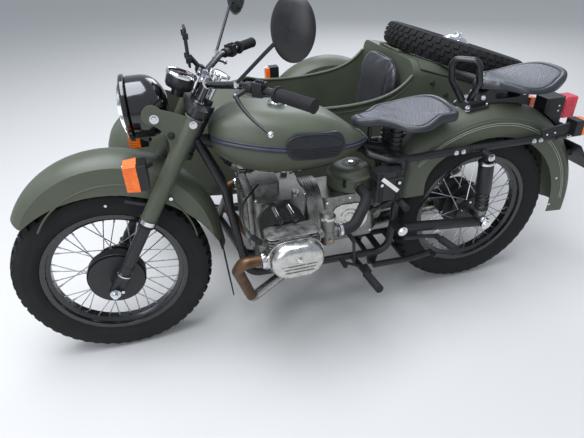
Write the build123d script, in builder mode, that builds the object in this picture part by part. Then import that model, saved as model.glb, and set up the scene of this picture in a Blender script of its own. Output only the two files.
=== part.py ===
"""A sidecar motorcycle: a flat-twin machine with a raked fork, and a sidecar with a spare wheel on its boot lid."""
import math
import os

from build123d import *

os.makedirs("parts", exist_ok=True)

# Everything is in millimetres. The machine faces -Y, +Z is up and +X is its left, so the sidecar is at -X.
# Points are given from the machine's own centre plane (x), from halfway between its axles (y) and from the floor (z).
# The origin lies on the floor below the middle of the whole outfit.
BIKE_X = 382.0
MID_Y = -105.0

WHEELBASE = 1470.0
TRACK = 1140.0
WHEEL_LEAD = 268.0
TYRE_OD = 700.0
TYRE_W = 106.0
TREAD_HALF = 40.0
RIM_OD = 512.0
RIM_W = 72.0
BEAD_D = 484.0
WELL_D = 446.0
SPOKES = 36
SPOKE_D = 4.0
HUB_D = 96.0
HUB_L = 104.0
DRUM_D = 206.0
DRUM_L = 42.0
AXLE_D = 20.0

AXLE_Z = 350.0
FRONT_Y = -WHEELBASE / 2
REAR_Y = WHEELBASE / 2
SIDE_Y = REAR_Y - WHEEL_LEAD

# The fork: its legs are raked, the axle lies a little ahead of them and the steering axis a little behind.
RAKE = 31.0
LEG_X = 105.0
LEG_LEAD = 8.0
STEM_SETBACK = 40.0
LEG_D = 42.0
SHROUD_D = 54.0
SHROUD_FROM = 302.0
SHROUD_TO = 684.0
LOWER_YOKE_AT = 528.0
TOP_YOKE_AT = 703.0
YOKE_T = 22.0
STEM_D = 26.0
HEAD_TUBE_D = 56.0
HEAD_TUBE_GAP = 3.0

SHEET = 3.0
GAP = 0.3


def at(x, y, z):
    """A point of the machine, from its centre plane, its middle and the floor: bigger tyres lift all of it."""
    return (BIKE_X + x, MID_Y + y, z + TYRE_OD / 2 - AXLE_Z)


def side_plane(x=0.0):
    """An upright plane along the machine: sketches on it are drawn in (y, z)."""
    return Plane(origin=at(x, 0, 0), x_dir=(0, 1, 0), z_dir=(1, 0, 0))


def plan_plane(z=0.0):
    """A level plane: sketches on it are drawn in (x, y)."""
    return Plane(origin=at(0, 0, z), x_dir=(1, 0, 0), z_dir=(0, 0, 1))


def cross_plane(y=0.0):
    """An upright plane across the machine: sketches on it are drawn in (x, z)."""
    return Plane(origin=at(0, y, 0), x_dir=(1, 0, 0), z_dir=(0, -1, 0))


def polar(centre, radius, angle):
    """A point on a circle, angle in degrees."""
    return (
        centre[0] + radius * math.cos(math.radians(angle)),
        centre[1] + radius * math.sin(math.radians(angle)),
    )


def fork_point(x, ahead, along):
    """A point of the fork, from the axle: ahead of it square to the legs, and along the legs."""
    sin, cos = math.sin(math.radians(RAKE)), math.cos(math.radians(RAKE))
    return at(x, FRONT_Y - ahead * cos + along * sin, AXLE_Z + ahead * sin + along * cos)


FORK_UP = (0, math.sin(math.radians(RAKE)), math.cos(math.radians(RAKE)))
FORK_AHEAD = (0, -math.cos(math.radians(RAKE)), math.sin(math.radians(RAKE)))
STEM_AHEAD = -(LEG_LEAD + STEM_SETBACK)


def fork_plane(x, ahead, along):
    """A plane square to the fork legs: sketches on it are drawn in (across, ahead)."""
    return Plane(origin=fork_point(x, ahead, along), x_dir=(-1, 0, 0), z_dir=FORK_UP)


def dome_middle(edge_radius, rise):
    """The point halfway along a dome's profile: its height over the edge and its radius."""
    radius = (edge_radius ** 2 + rise ** 2) / (2 * rise)
    half_angle = math.atan2(edge_radius, radius - rise) / 2
    return rise - radius + radius * math.cos(half_angle), radius * math.sin(half_angle)


def rod(start, end, diameter, end_diameter=None):
    """A round bar between two points, tapered if its end has another diameter."""
    start, end = Vector(*start), Vector(*end)
    length = (end - start).length
    with Locations(Plane(origin=start, z_dir=end - start)):
        if end_diameter is None:
            Cylinder(diameter / 2, length, align=(Align.CENTER, Align.CENTER, Align.MIN))
        else:
            Cone(diameter / 2, end_diameter / 2, length, align=(Align.CENTER, Align.CENTER, Align.MIN))


def tube(points, diameter, bend):
    """A round tube along straight runs joined by bends."""
    with BuildLine() as route:
        FilletPolyline(*points, radius=bend)
    with BuildSketch(Plane(origin=route.line @ 0, z_dir=route.line % 0)) as section:
        Circle(diameter / 2)
    sweep(section.sketch, path=route.line)


def slab(x_from, x_to, y_from, y_to, z_from, z_to, edge=0.0, mode=Mode.ADD):
    """A block between two corners of the machine, its upright or long edges rounded where edge is given."""
    with BuildSketch(plan_plane(z_from)) as section:
        with Locations(((x_from + x_to) / 2, (y_from + y_to) / 2)):
            if edge:
                RectangleRounded(x_to - x_from, y_to - y_from, edge)
            else:
                Rectangle(x_to - x_from, y_to - y_from)
    extrude(section.sketch, amount=z_to - z_from, mode=mode)


def guard_section(half_width, rise, depth):
    """The inverted U of a mudguard: a crown that rises in an arc, shoulders and straight skirts."""
    inner = half_width - SHEET
    with BuildLine() as outline:
        Polyline((-half_width, rise), (-half_width, depth), (-inner, depth), (-inner, rise))
        ThreePointArc((-inner, rise), (0, SHEET), (inner, rise))
        Polyline((inner, rise), (inner, depth), (half_width, depth), (half_width, rise))
        ThreePointArc((half_width, rise), (0, 0), (-half_width, rise))
    make_face(outline.edges())


# The laced wheel, made once about its own axle along Z: rim, hub, brake drum on the +Z side and crossed spokes.
FLANGE_T = 6.0
RIM_T = 4.0
SPOKE_SWEEP = 34.0
DRUM_SWEEP = 14.0
axle_up = Axis((0, 0, 0), (0, 0, 1))

with BuildPart() as laced:
    with BuildSketch(Plane.XZ):
        half, seat, well = RIM_W / 2, BEAD_D / 2, WELL_D / 2
        with BuildLine():
            Polyline((RIM_OD / 2, -half), (RIM_OD / 2, FLANGE_T - half), (seat, FLANGE_T - half), (seat, -18),
                     (well + RIM_T, -14), (well + RIM_T, 14), (seat, 18), (seat, half - FLANGE_T),
                     (RIM_OD / 2, half - FLANGE_T), (RIM_OD / 2, half), (seat - RIM_T, half), (seat - RIM_T, 20),
                     (well, 15), (well, -15), (seat - RIM_T, -20), (seat - RIM_T, -half), close=True)
        make_face()
    revolve(axis=axle_up)
    with BuildSketch(Plane.XZ):
        with Locations((HUB_D / 4 + AXLE_D / 4, 0)):
            Rectangle(HUB_D / 2 - AXLE_D / 2, HUB_L)
        with Locations((DRUM_D / 4 + AXLE_D / 4, HUB_L / 2 - DRUM_L / 2)):
            Rectangle(DRUM_D / 2 - AXLE_D / 2, DRUM_L)
        with Locations((66, 4 - HUB_L / 2)):
            Rectangle(20, 8)
    revolve(axis=axle_up)
    laces = []
    for spoke in range(SPOKES):
        on_drum = spoke % 2 == 0
        lean = 1 if spoke % 4 < 2 else -1
        rim_angle = 360 / SPOKES * spoke
        hub_angle = rim_angle + lean * (DRUM_SWEEP if on_drum else SPOKE_SWEEP)
        hub_point = polar((0, 0), DRUM_D / 2 - 8 if on_drum else 70, hub_angle)
        rim_point = polar((0, 0), WELL_D / 2 + 1, rim_angle)
        start = Vector(*hub_point, HUB_L / 2 - DRUM_L + 6 if on_drum else 4 - HUB_L / 2)
        end = Vector(*rim_point, 5 if on_drum else -5)
        with BuildSketch(Plane(origin=start, z_dir=end - start)) as lace:
            RegularPolygon(SPOKE_D / 2, 5)
        laces.append(extrude(lace.sketch, amount=(end - start).length, mode=Mode.PRIVATE))
    add(laces)

with BuildPart() as cover:
    with BuildSketch(Plane.XZ):
        bead = RIM_W / 2 - FLANGE_T - GAP
        foot = RIM_OD / 2 + 2
        edge = TYRE_OD / 2 - 12
        flank = (TYRE_OD / 2 + foot) / 2 - 4
        with BuildLine():
            ThreePointArc((edge, -TREAD_HALF), (TYRE_OD / 2, 0), (edge, TREAD_HALF))
            ThreePointArc((edge, TREAD_HALF), (flank, TYRE_W / 2), (foot, bead + 4))
            Polyline((foot, bead + 4), (foot, bead), (BEAD_D / 2 + GAP, bead),
                     (BEAD_D / 2 + GAP, -bead), (foot, -bead), (foot, -bead - 4))
            ThreePointArc((foot, -bead - 4), (flank, -TYRE_W / 2), (edge, -TREAD_HALF))
        make_face()
    revolve(axis=axle_up)

# Wheels: name, x and y of the axle, turn about the upright that puts the drum on its side
WHEELS = (
    ("front", 0.0, FRONT_Y, 1),
    ("rear", 0.0, REAR_Y, -1),
    ("sidecar", -TRACK, SIDE_Y, 1),
)
for wheel_name, wheel_x, wheel_y, drum_side in WHEELS:
    place = Location(Plane(origin=at(wheel_x, wheel_y, AXLE_Z), x_dir=(0, 1, 0), z_dir=(drum_side, 0, 0)))
    tyre = cover.part.moved(place)
    tyre.label = f"{wheel_name}_tyre"
    export_step(tyre, f"parts/{wheel_name}_tyre.step")
    wheel = laced.part.moved(place)
    wheel.label = f"{wheel_name}_wheel"
    export_step(wheel, f"parts/{wheel_name}_wheel.step")

# The fork: two legs, two yokes, the stem and the axle, in one piece
FENDER_HALF = 74.0
LEG_FOOT = -22.0
YOKE_ARM = 34.0
BRAKE_GAP = 5.5

with BuildPart() as fork:
    for side in (1, -1):
        rod(fork_point(side * LEG_X, -LEG_LEAD, 10), fork_point(side * LEG_X, -LEG_LEAD, TOP_YOKE_AT + YOKE_T / 2), LEG_D)
        rod(fork_point(side * LEG_X, -LEG_LEAD, LEG_FOOT), fork_point(side * LEG_X, -LEG_LEAD, 60), LEG_D + 8)
        rod(fork_point(side * (LEG_X + 26), 0, 0), fork_point(side * (LEG_X + 40), 0, 0), 30)
    rod(at(LEG_X + 34, FRONT_Y, AXLE_Z), at(-LEG_X - 34, FRONT_Y, AXLE_Z), AXLE_D - 0.1)
    rod(at(HUB_L / 2 + BRAKE_GAP, FRONT_Y, AXLE_Z), at(HUB_L / 2 + BRAKE_GAP + 6, FRONT_Y, AXLE_Z), DRUM_D - 10)
    rod(at(HUB_L / 2 + BRAKE_GAP + 5, FRONT_Y, AXLE_Z), at(LEG_X - LEG_D / 2 + 4, FRONT_Y, AXLE_Z), 44, 34)
    for along, thickness, depth in ((LOWER_YOKE_AT, YOKE_T, YOKE_ARM), (TOP_YOKE_AT, YOKE_T, 60)):
        with BuildSketch(fork_plane(0, 0, along - thickness / 2)) as arm:
            with Locations((0, -LEG_LEAD)):
                RectangleRounded(2 * LEG_X + YOKE_ARM, depth, YOKE_ARM / 2 - 1)
            with Locations((0, STEM_AHEAD)):
                Circle(30)
        extrude(arm.sketch, amount=thickness)
    rod(fork_point(0, STEM_AHEAD, LOWER_YOKE_AT), fork_point(0, STEM_AHEAD, TOP_YOKE_AT), STEM_D)
    rod(fork_point(0, STEM_AHEAD, TOP_YOKE_AT), fork_point(0, STEM_AHEAD, TOP_YOKE_AT + 26), 34)
fork.part.label = "fork"
export_step(fork.part, "parts/fork.step")

# Pressed steel sleeves round the legs, with the ears that carry the headlamp
EAR_T = 4.0
with BuildPart() as shrouds:
    for side in (1, -1):
        sleeve_plane = fork_plane(side * LEG_X, -LEG_LEAD, SHROUD_FROM)
        with BuildSketch(sleeve_plane) as sleeve:
            Circle(SHROUD_D / 2)
        extrude(sleeve.sketch, amount=SHROUD_TO - SHROUD_FROM)
        ear_x = side * (LEG_X + 12)
        ear_plane = Plane(origin=fork_point(ear_x, 0, 0), x_dir=FORK_AHEAD, z_dir=(-1, 0, 0))
        with BuildSketch(ear_plane) as ear:
            with BuildLine():
                Polyline((-8, 548), (-8, 682), (51, 676), (94, 668))
                ThreePointArc((94, 668), (140, 646), (116, 611))
                ThreePointArc((116, 611), (58, 604), (18, 540))
                Line((18, 540), (-8, 548))
            make_face()
        extrude(ear.sketch, amount=EAR_T / 2, both=True)
    for side in (1, -1):
        with BuildSketch(fork_plane(side * LEG_X, -LEG_LEAD, SHROUD_FROM)) as bore:
            Circle(LEG_D / 2 + GAP)
        extrude(bore.sketch, amount=SHROUD_TO - SHROUD_FROM, mode=Mode.SUBTRACT)
    with BuildSketch(fork_plane(0, -LEG_LEAD, LOWER_YOKE_AT - YOKE_T / 2 - GAP)) as window:
        Rectangle(2 * LEG_X, YOKE_ARM + 2 * GAP)
    extrude(window.sketch, amount=YOKE_T + 2 * GAP, mode=Mode.SUBTRACT)
shrouds.part.label = "fork_shrouds"
export_step(shrouds.part, "parts/fork_shrouds.step")

# Headlamp: a bowl with a rim, and the bulged glass in it
LAMP_Y, LAMP_Z = -573.0, 950.0
LAMP_R = 103.0
GLASS_R = 90.0
GLASS_RISE = 26.0
BOWL_R = 97.0
BOWL_RISE = 74.0
lamp_axis = Axis(at(0, 0, LAMP_Z), (0, 1, 0))
bowl_y, bowl_r = dome_middle(BOWL_R, BOWL_RISE)
glass_y, glass_r = dome_middle(GLASS_R, GLASS_RISE)
with BuildPart() as lamp_shell:
    with BuildSketch(side_plane()):
        with BuildLine():
            Polyline((LAMP_Y + 8, LAMP_Z), (LAMP_Y + 8, LAMP_Z + GLASS_R + GAP), (LAMP_Y, LAMP_Z + GLASS_R + GAP),
                     (LAMP_Y, LAMP_Z + LAMP_R), (LAMP_Y + 22, LAMP_Z + LAMP_R), (LAMP_Y + 24, LAMP_Z + BOWL_R),
                     (LAMP_Y + 56, LAMP_Z + BOWL_R))
            ThreePointArc((LAMP_Y + 56, LAMP_Z + BOWL_R), (LAMP_Y + 56 + bowl_y, LAMP_Z + bowl_r),
                          (LAMP_Y + 56 + BOWL_RISE, LAMP_Z))
            Line((LAMP_Y + 56 + BOWL_RISE, LAMP_Z), (LAMP_Y + 8, LAMP_Z))
        make_face()
    revolve(axis=lamp_axis)
lamp_shell.part.label = "headlamp_shell"
export_step(lamp_shell.part, "parts/headlamp_shell.step")

with BuildPart() as lamp_glass:
    with BuildSketch(side_plane()):
        with BuildLine():
            Polyline((LAMP_Y - GLASS_RISE, LAMP_Z), (LAMP_Y + 8 - GAP, LAMP_Z), (LAMP_Y + 8 - GAP, LAMP_Z + GLASS_R),
                     (LAMP_Y, LAMP_Z + GLASS_R))
            ThreePointArc((LAMP_Y, LAMP_Z + GLASS_R), (LAMP_Y - glass_y, LAMP_Z + glass_r),
                          (LAMP_Y - GLASS_RISE, LAMP_Z))
        make_face()
    revolve(axis=lamp_axis)
lamp_glass.part.label = "headlamp_glass"
export_step(lamp_glass.part, "parts/headlamp_glass.step")

# Speedometer on its bracket, tilted towards the rider
DIAL_TILT = 22.0
dial_up = (0, math.sin(math.radians(DIAL_TILT)), math.cos(math.radians(DIAL_TILT)))
with BuildPart() as speedometer:
    rod(at(0, -408, 996), at(0, -408 + 52 * dial_up[1], 996 + 52 * dial_up[2]), 88, 96)
    rod(at(0, -409, 975), at(0, -404, 1000), 40)
speedometer.part.label = "speedometer"
export_step(speedometer.part, "parts/speedometer.step")

# Handlebar with its clamps, and the steering damper's knob on top of the stem
BAR_D = 22.0
BAR_AHEAD = -14.0
BAR_AT = TOP_YOKE_AT + 83
GRIP_D = 35.0
GRIP_L = 132.0
bar_bend = (272, -186, 1040)
bar_end = (412, -92, 1030)
bar_run = [(70, -318, 1015), (196, -246, 1041), bar_bend, bar_end]
bar_points = [at(-x, y, z) for x, y, z in reversed(bar_run)] + [at(x, y, z) for x, y, z in bar_run]
with BuildPart() as handlebar:
    tube(bar_points, BAR_D, 34)
    for side in (1, -1):
        foot, head = (fork_point(side * 42, BAR_AHEAD, along) for along in (TOP_YOKE_AT + YOKE_T / 2, BAR_AT))
        rod(foot, head, 26)
handlebar.part.label = "handlebar"
export_step(handlebar.part, "parts/handlebar.step")

with BuildPart() as knob:
    rod(fork_point(0, STEM_AHEAD, TOP_YOKE_AT + 26.3), fork_point(0, STEM_AHEAD, TOP_YOKE_AT + 106), 18)
    rod(fork_point(0, STEM_AHEAD, TOP_YOKE_AT + 106), fork_point(0, STEM_AHEAD, TOP_YOKE_AT + 120), 62)
knob.part.label = "damper_knob"
export_step(knob.part, "parts/damper_knob.step")


def along_bar(side, start, end, length):
    """A point on a straight run of the handlebar, a length from its start, on either side."""
    start, end = Vector(side * start[0], *start[1:]), Vector(side * end[0], *end[1:])
    point = start + (end - start).normalized() * length
    return Vector(*at(point.X, point.Y, point.Z))


grip_run = Vector(*bar_end) - Vector(*bar_bend)
with BuildPart() as grips:
    for side in (1, -1):
        outer = along_bar(side, bar_bend, bar_end, grip_run.length + 5)
        inner = along_bar(side, bar_bend, bar_end, grip_run.length + 5 - GRIP_L)
        rod(inner, outer, GRIP_D)
        with Locations(Plane(origin=inner, z_dir=outer - inner)):
            Cylinder(BAR_D / 2 + GAP, GRIP_L - 5 + GAP, align=(Align.CENTER, Align.CENTER, Align.MIN),
                     mode=Mode.SUBTRACT)
grips.part.label = "grips"
export_step(grips.part, "parts/grips.step")

with BuildPart() as levers:
    for side in (1, -1):
        clamp_from = along_bar(side, bar_run[1], bar_bend, 30)
        clamp_to = along_bar(side, bar_run[1], bar_bend, 56)
        rod(clamp_from, clamp_to, 32)
        with Locations(Plane(origin=clamp_from, z_dir=clamp_to - clamp_from)):
            Cylinder(BAR_D / 2 + GAP, 26, align=(Align.CENTER, Align.CENTER, Align.MIN), mode=Mode.SUBTRACT)
        pivot, ball = at(side * 236, -262, 1022), at(side * 404, -205, 966)
        rod((clamp_from + clamp_to) * 0.5 + Vector(0, -17, -5), pivot, 14)
        rod(pivot, ball, 11)
        with Locations(Plane(origin=ball, z_dir=Vector(*ball) - Vector(*pivot))):
            Sphere(9)
levers.part.label = "levers"
export_step(levers.part, "parts/levers.step")

mirror_back = (0.68, -0.72, 0.10)
with BuildPart() as mirrors:
    for side in (1, -1):
        facing = Vector(side * mirror_back[0], *mirror_back[1:]).normalized()
        centre = Vector(*at(side * 400, -142, 1214))
        with BuildSketch(Plane(origin=centre - facing * 9, x_dir=(-facing.Y, facing.X, 0), z_dir=facing)) as face:
            Ellipse(62, 76)
        extrude(face.sketch, amount=18)
        rod(at(side * 214, -253, 1052), at(side * 345, -178, 1168), 10)
        rod(at(side * 345, -178, 1168), centre - facing * 4, 10)
mirrors.part.label = "mirrors"
export_step(mirrors.part, "parts/mirrors.step")

# Front mudguard: a pressed arch over the wheel with valanced skirts and a rubber flap
ARCH_C, ARCH_R = (-693.0, 465.0), TYRE_OD / 2 + 10
arch_end = polar(ARCH_C, ARCH_R, 5.5)
with BuildPart() as front_fender:
    with BuildLine(side_plane()) as ridge:
        ThreePointArc(polar(ARCH_C, ARCH_R, 151), polar(ARCH_C, ARCH_R, 78), arch_end)
        Line(arch_end, (arch_end[0] + 9.6, arch_end[1] - 100))
    with BuildSketch(Plane(origin=ridge.line @ 0, x_dir=(1, 0, 0), z_dir=ridge.line % 0)) as section:
        guard_section(FENDER_HALF, 34, 142)
    sweep(section.sketch, path=ridge.line)
    with BuildSketch(side_plane()) as below_skirt:
        with BuildLine():
            ThreePointArc((-1010, 585), (-720, 698), (-352, 436))
            Polyline((-352, 436), (-330, 300), (-600, 200), (-1200, 400), (-1010, 585))
        make_face()
    extrude(below_skirt.sketch, amount=200, both=True, mode=Mode.SUBTRACT)
    for side in (1, -1):
        rod(fork_point(side * (FENDER_HALF - 1), -LEG_LEAD, 400),
            fork_point(side * (LEG_X - SHROUD_D / 2 - GAP), -LEG_LEAD, 400), 22)
front_fender.part.label = "front_fender"
export_step(front_fender.part, "parts/front_fender.step")

# The rubber flap that hangs inside the tail of the front mudguard
with BuildPart() as mud_flap:
    with BuildSketch(side_plane()) as flap_side:
        with BuildLine():
            Polyline((-344, 436), (-326, 170), (-321, 170), (-339, 436), close=True)
        make_face()
    extrude(flap_side.sketch, amount=FENDER_HALF - SHEET - 3, both=True)
    add(front_fender.part, mode=Mode.SUBTRACT)
mud_flap.part.label = "mud_flap"
export_step(mud_flap.part, "parts/mud_flap.step")

# The frame: headstock, backbone, twin downtubes, lower rails, rear uprights and the seat rails that close the tail
HEAD_LOW = LOWER_YOKE_AT + YOKE_T / 2 + HEAD_TUBE_GAP
HEAD_HIGH = TOP_YOKE_AT - YOKE_T / 2 - HEAD_TUBE_GAP
RAIL_D = 28.0
DOWNTUBE_D = 30.0
BACKBONE_D = 44.0
BACKBONE_AT_SADDLE = 712.0
RAIL_X = 100.0
RAIL_Z = 680.0
CRADLE_X = 80.0
CRADLE_Z = 262.0
UPRIGHT_Y = 345.0
PIVOT = (353.0, 392.0)
SHOCK_TOP = (680.0, 663.0)
SHOCK_X = 138.0
GUARD_HALF = 80.0
STAND_AXIS = (262.0, 222.0)
STAND_PIN_D = 22.0

with BuildPart() as frame:
    rod(fork_point(0, STEM_AHEAD, HEAD_LOW), fork_point(0, STEM_AHEAD, HEAD_HIGH), HEAD_TUBE_D)
    tube([fork_point(0, STEM_AHEAD - 12, 590), at(0, -230, 772), at(0, 200, 716), at(0, UPRIGHT_Y, RAIL_Z)],
         BACKBONE_D, 60)
    for side in (1, -1):
        tube([fork_point(side * 16, STEM_AHEAD - 12, 592), at(side * 46, -306, 640), at(side * 64, -258, CRADLE_Z),
              at(side * CRADLE_X, 330, CRADLE_Z), at(side * CRADLE_X, UPRIGHT_Y, 420),
              at(side * RAIL_X, UPRIGHT_Y, RAIL_Z)], DOWNTUBE_D, 60)
        rod(at(side * CRADLE_X, *PIVOT), at(side * 98, *PIVOT), 54)
        rod(at(side * RAIL_X, SHOCK_TOP[0], RAIL_Z - 10), at(side * (SHOCK_X + 26), SHOCK_TOP[0], RAIL_Z - 12), 16)
    tube([at(-10, 216, 712), at(-58, 236, 696), at(-RAIL_X, 300, RAIL_Z), at(-RAIL_X, 1108, RAIL_Z),
          at(RAIL_X, 1108, RAIL_Z), at(RAIL_X, 300, RAIL_Z), at(58, 236, 696), at(10, 216, 712)], RAIL_D, 30)
    rod(at(-RAIL_X, UPRIGHT_Y, RAIL_Z), at(RAIL_X, UPRIGHT_Y, RAIL_Z), RAIL_D)
    rod(at(-CRADLE_X, 300, CRADLE_Z), at(CRADLE_X, 300, CRADLE_Z), RAIL_D)
    rod(at(-64, -252, 300), at(64, -252, 300), 24)
    for side in (1, -1):
        for bolt_y in (560, 900):
            rod(at(side * (GUARD_HALF + GAP), bolt_y, RAIL_Z), at(side * RAIL_X, bolt_y, RAIL_Z), 18)
        with BuildSketch(side_plane(side * CRADLE_X)) as lug:
            with BuildLine():
                Polyline((STAND_AXIS[0] - 26, CRADLE_Z), (STAND_AXIS[0] + 26, CRADLE_Z),
                         (STAND_AXIS[0] + 16, STAND_AXIS[1] - 14), (STAND_AXIS[0] - 16, STAND_AXIS[1] - 14), close=True)
            make_face()
            with Locations(STAND_AXIS):
                Circle(STAND_PIN_D / 2 + GAP, mode=Mode.SUBTRACT)
        extrude(lug.sketch, amount=6, both=True)
    with Locations(Plane(origin=fork_point(0, STEM_AHEAD, HEAD_LOW), z_dir=FORK_UP)):
        Cylinder(STEM_D / 2 + 0.06, HEAD_HIGH - HEAD_LOW, align=(Align.CENTER, Align.CENTER, Align.MIN), mode=Mode.SUBTRACT)
frame.part.label = "frame"
export_step(frame.part, "parts/frame.step")

# Engine and gearbox castings: crankcase with its timing cover, sump, bell housing and gearbox
CRANK_Z = 508.0
CYL_Y = -128.0
CASE_X = 108.0
BARREL_FROM = 100.0
BARREL_TO = 232.0
HEAD_TO = 322.0
COVER_TO = 374.0
GEARBOX_TOP = 560.0
GEARBOX_HALF = 86.0
with BuildPart() as engine_case:
    slab(-CASE_X, CASE_X, -216, -20, 318, 596, 26)
    slab(-92, 92, -198, -34, 284, 320, 20)
    slab(-84, 84, -240, -214, 400, 626, 12)
    slab(-60, 60, -214, -110, 590, 640, 16)
    rod(at(0, -22, 478), at(0, 40, 478), 250)
    slab(-GEARBOX_HALF, GEARBOX_HALF, 38, 262, 366, GEARBOX_TOP, 30)
    rod(at(0, 260, 448), at(0, 296, 448), 120)
    for side in (1, -1):
        rod(at(side * 96, CYL_Y, CRANK_Z), at(side * BARREL_FROM + side * 14, CYL_Y, CRANK_Z), 168)
engine_case.part.label = "engine_case"
export_step(engine_case.part, "parts/engine_case.step")

# Finned barrels, one each side
FINS = 8
FIN_PITCH = 13.0
FIN_T = 4.0
with BuildPart() as barrels:
    for side in (1, -1):
        rod(at(side * (BARREL_FROM + 14 + GAP), CYL_Y, CRANK_Z), at(side * (BARREL_TO - GAP), CYL_Y, CRANK_Z), 108)
        fins = []
        for fin in range(FINS):
            fin_x = side * (BARREL_FROM + 28 + fin * FIN_PITCH)
            with BuildSketch(side_plane(fin_x)) as disc:
                with Locations((CYL_Y, CRANK_Z)):
                    RectangleRounded(160, 150, 56)
            fins.append(extrude(disc.sketch, amount=side * FIN_T, mode=Mode.PRIVATE))
        add(fins)
barrels.part.label = "barrels"
export_step(barrels.part, "parts/barrels.step")

# Cylinder heads with level fins, and the ribbed rocker covers over them
with BuildPart() as heads:
    for side in (1, -1):
        with BuildSketch(side_plane(side * BARREL_TO)) as core:
            with Locations((CYL_Y, CRANK_Z)):
                RectangleRounded(150, 130, 40)
        extrude(core.sketch, amount=side * (HEAD_TO - BARREL_TO))
        fins = []
        for fin in range(9):
            fin_z = CRANK_Z - 64 + fin * 16
            with BuildSketch(plan_plane(fin_z)) as leaf:
                with Locations((side * (BARREL_TO + 41), CYL_Y)):
                    RectangleRounded(82, 178, 24)
            fins.append(extrude(leaf.sketch, amount=FIN_T, mode=Mode.PRIVATE))
        add(fins)
heads.part.label = "cylinder_heads"
export_step(heads.part, "parts/cylinder_heads.step")

with BuildPart() as rocker_covers:
    for side in (1, -1):
        with BuildSketch(side_plane(side * (HEAD_TO + GAP))) as cover_foot:
            with Locations((CYL_Y, CRANK_Z)):
                RectangleRounded(186, 132, 62)
        extrude(cover_foot.sketch, amount=side * (COVER_TO - HEAD_TO))
    fillet(rocker_covers.edges().group_by(Axis.X)[-1], 22)
    fillet(rocker_covers.edges().group_by(Axis.X)[0], 22)
    for side in (1, -1):
        for rib in range(3):
            rib_z = CRANK_Z - 36 + rib * 17
            with BuildSketch(side_plane(side * (COVER_TO - 5))) as ridge_face:
                with Locations((CYL_Y, rib_z)):
                    RectangleRounded(132 + rib * 8, 6, 2.9)
            extrude(ridge_face.sketch, amount=side * 8)
rocker_covers.part.label = "rocker_covers"
export_step(rocker_covers.part, "parts/rocker_covers.step")

# Carburettors behind the heads, their intake elbows and the domed air filter
FILTER_Y, FILTER_D = 184.0, 184.0
with BuildPart() as carburettors:
    for side in (1, -1):
        rod(at(side * 262, CYL_Y + 89.3, 534), at(side * 262, 40, 534), 36)
        rod(at(side * 262, 2, 492), at(side * 262, 2, 586), 50)
        rod(at(side * 262, 2, 586), at(side * 262, 2, 612), 40)
carburettors.part.label = "carburettors"
export_step(carburettors.part, "parts/carburettors.step")

with BuildPart() as air_filter:
    with BuildSketch(plan_plane(GEARBOX_TOP + GAP)) as can:
        with Locations((0, FILTER_Y)):
            Circle(FILTER_D / 2)
    extrude(can.sketch, amount=614 - GEARBOX_TOP - GAP)
    with BuildSketch(plan_plane(614)) as step:
        with Locations((0, FILTER_Y)):
            Circle(FILTER_D / 2 - 12)
    extrude(step.sketch, amount=34, taper=16)
    fillet(air_filter.edges().group_by(Axis.Z)[-1], 14)
air_filter.part.label = "air_filter"
export_step(air_filter.part, "parts/air_filter.step")

with BuildPart() as intakes:
    for side in (1, -1):
        tube([at(side * 262, 40 + GAP, 534), at(side * 262, 96, 534), at(side * 176, FILTER_Y, 588),
              at(side * (FILTER_D / 2 + GAP), FILTER_Y, 588)], 40, 34)
intakes.part.label = "intake_elbows"
export_step(intakes.part, "parts/intake_elbows.step")

# Exhaust: both header pipes meet on the right and end in two silencers between the machine and the sidecar
PIPE_D = 40.0
SILENCER_D = 76.0
SILENCERS = (-178.0, -262.0)
with BuildPart() as exhaust:
    tube([at(286, CYL_Y - 89.3, 486), at(286, -300, 486), at(236, -314, 420), at(160, -262, 222), at(60, -120, 222),
          at(-100, 0, 222), at(SILENCERS[0], 110, 224), at(SILENCERS[0], 310, 248)], PIPE_D, 26)
    tube([at(-286, CYL_Y - 89.3, 486), at(-286, -264, 486), at(-262, -270, 360), at(-236, -190, 224),
          at(-236, 60, 224), at(-238, 200, 236), at(SILENCERS[1], 310, 248)], PIPE_D, 26)
    rod(at(SILENCERS[0], 150, 228), at(-236, 150, 231), 26)
    rod(at(-CRADLE_X - DOWNTUBE_D / 2 - GAP, 150, CRADLE_Z), at(SILENCERS[0], 150, 230), 16)
    for silencer in SILENCERS:
        inlet, outlet = Vector(*at(silencer, 290, 248)), Vector(*at(silencer, 870, 300))
        along = (outlet - inlet).normalized()
        rod(inlet, inlet + along * 60, PIPE_D + 4, SILENCER_D)
        rod(inlet + along * 60, inlet + along * 520, SILENCER_D)
        rod(inlet + along * 520, outlet, SILENCER_D, PIPE_D + 4)
exhaust.part.label = "exhaust"
export_step(exhaust.part, "parts/exhaust.step")

# Fuel tank: two pressings that meet at a flange, with a tunnel over the backbone and a cap on top
# y, half width, bottom, top, corner radius
TANK_SECTIONS = (
    (-332, 40, 812, 862, 22),
    (-314, 82, 776, 886, 50),
    (-270, 112, 738, 912, 82),
    (-170, 150, 700, 919, 100),
    (-60, 156, 690, 904, 98),
    (60, 136, 692, 874, 84),
    (150, 100, 708, 816, 52),
    (205, 58, 730, 775, 22),
    (236, 16, 745, 757, 5),
)
SEAM_OUT = 6.0
SEAM_T = 3.0
TUNNEL_HALF = 34.0


def tank_form(grow):
    """The shape of the tank's outside, made bigger by grow on its flanks."""
    rings = []
    for y, half_width, low, high, radius in TANK_SECTIONS:
        with BuildSketch(cross_plane(y)) as ring:
            with Locations((0, (low + high) / 2)):
                RectangleRounded(2 * (half_width + grow), high - low + 2 * grow, radius + grow)
        rings.append(ring.sketch)
    return loft(rings, mode=Mode.PRIVATE)


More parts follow.
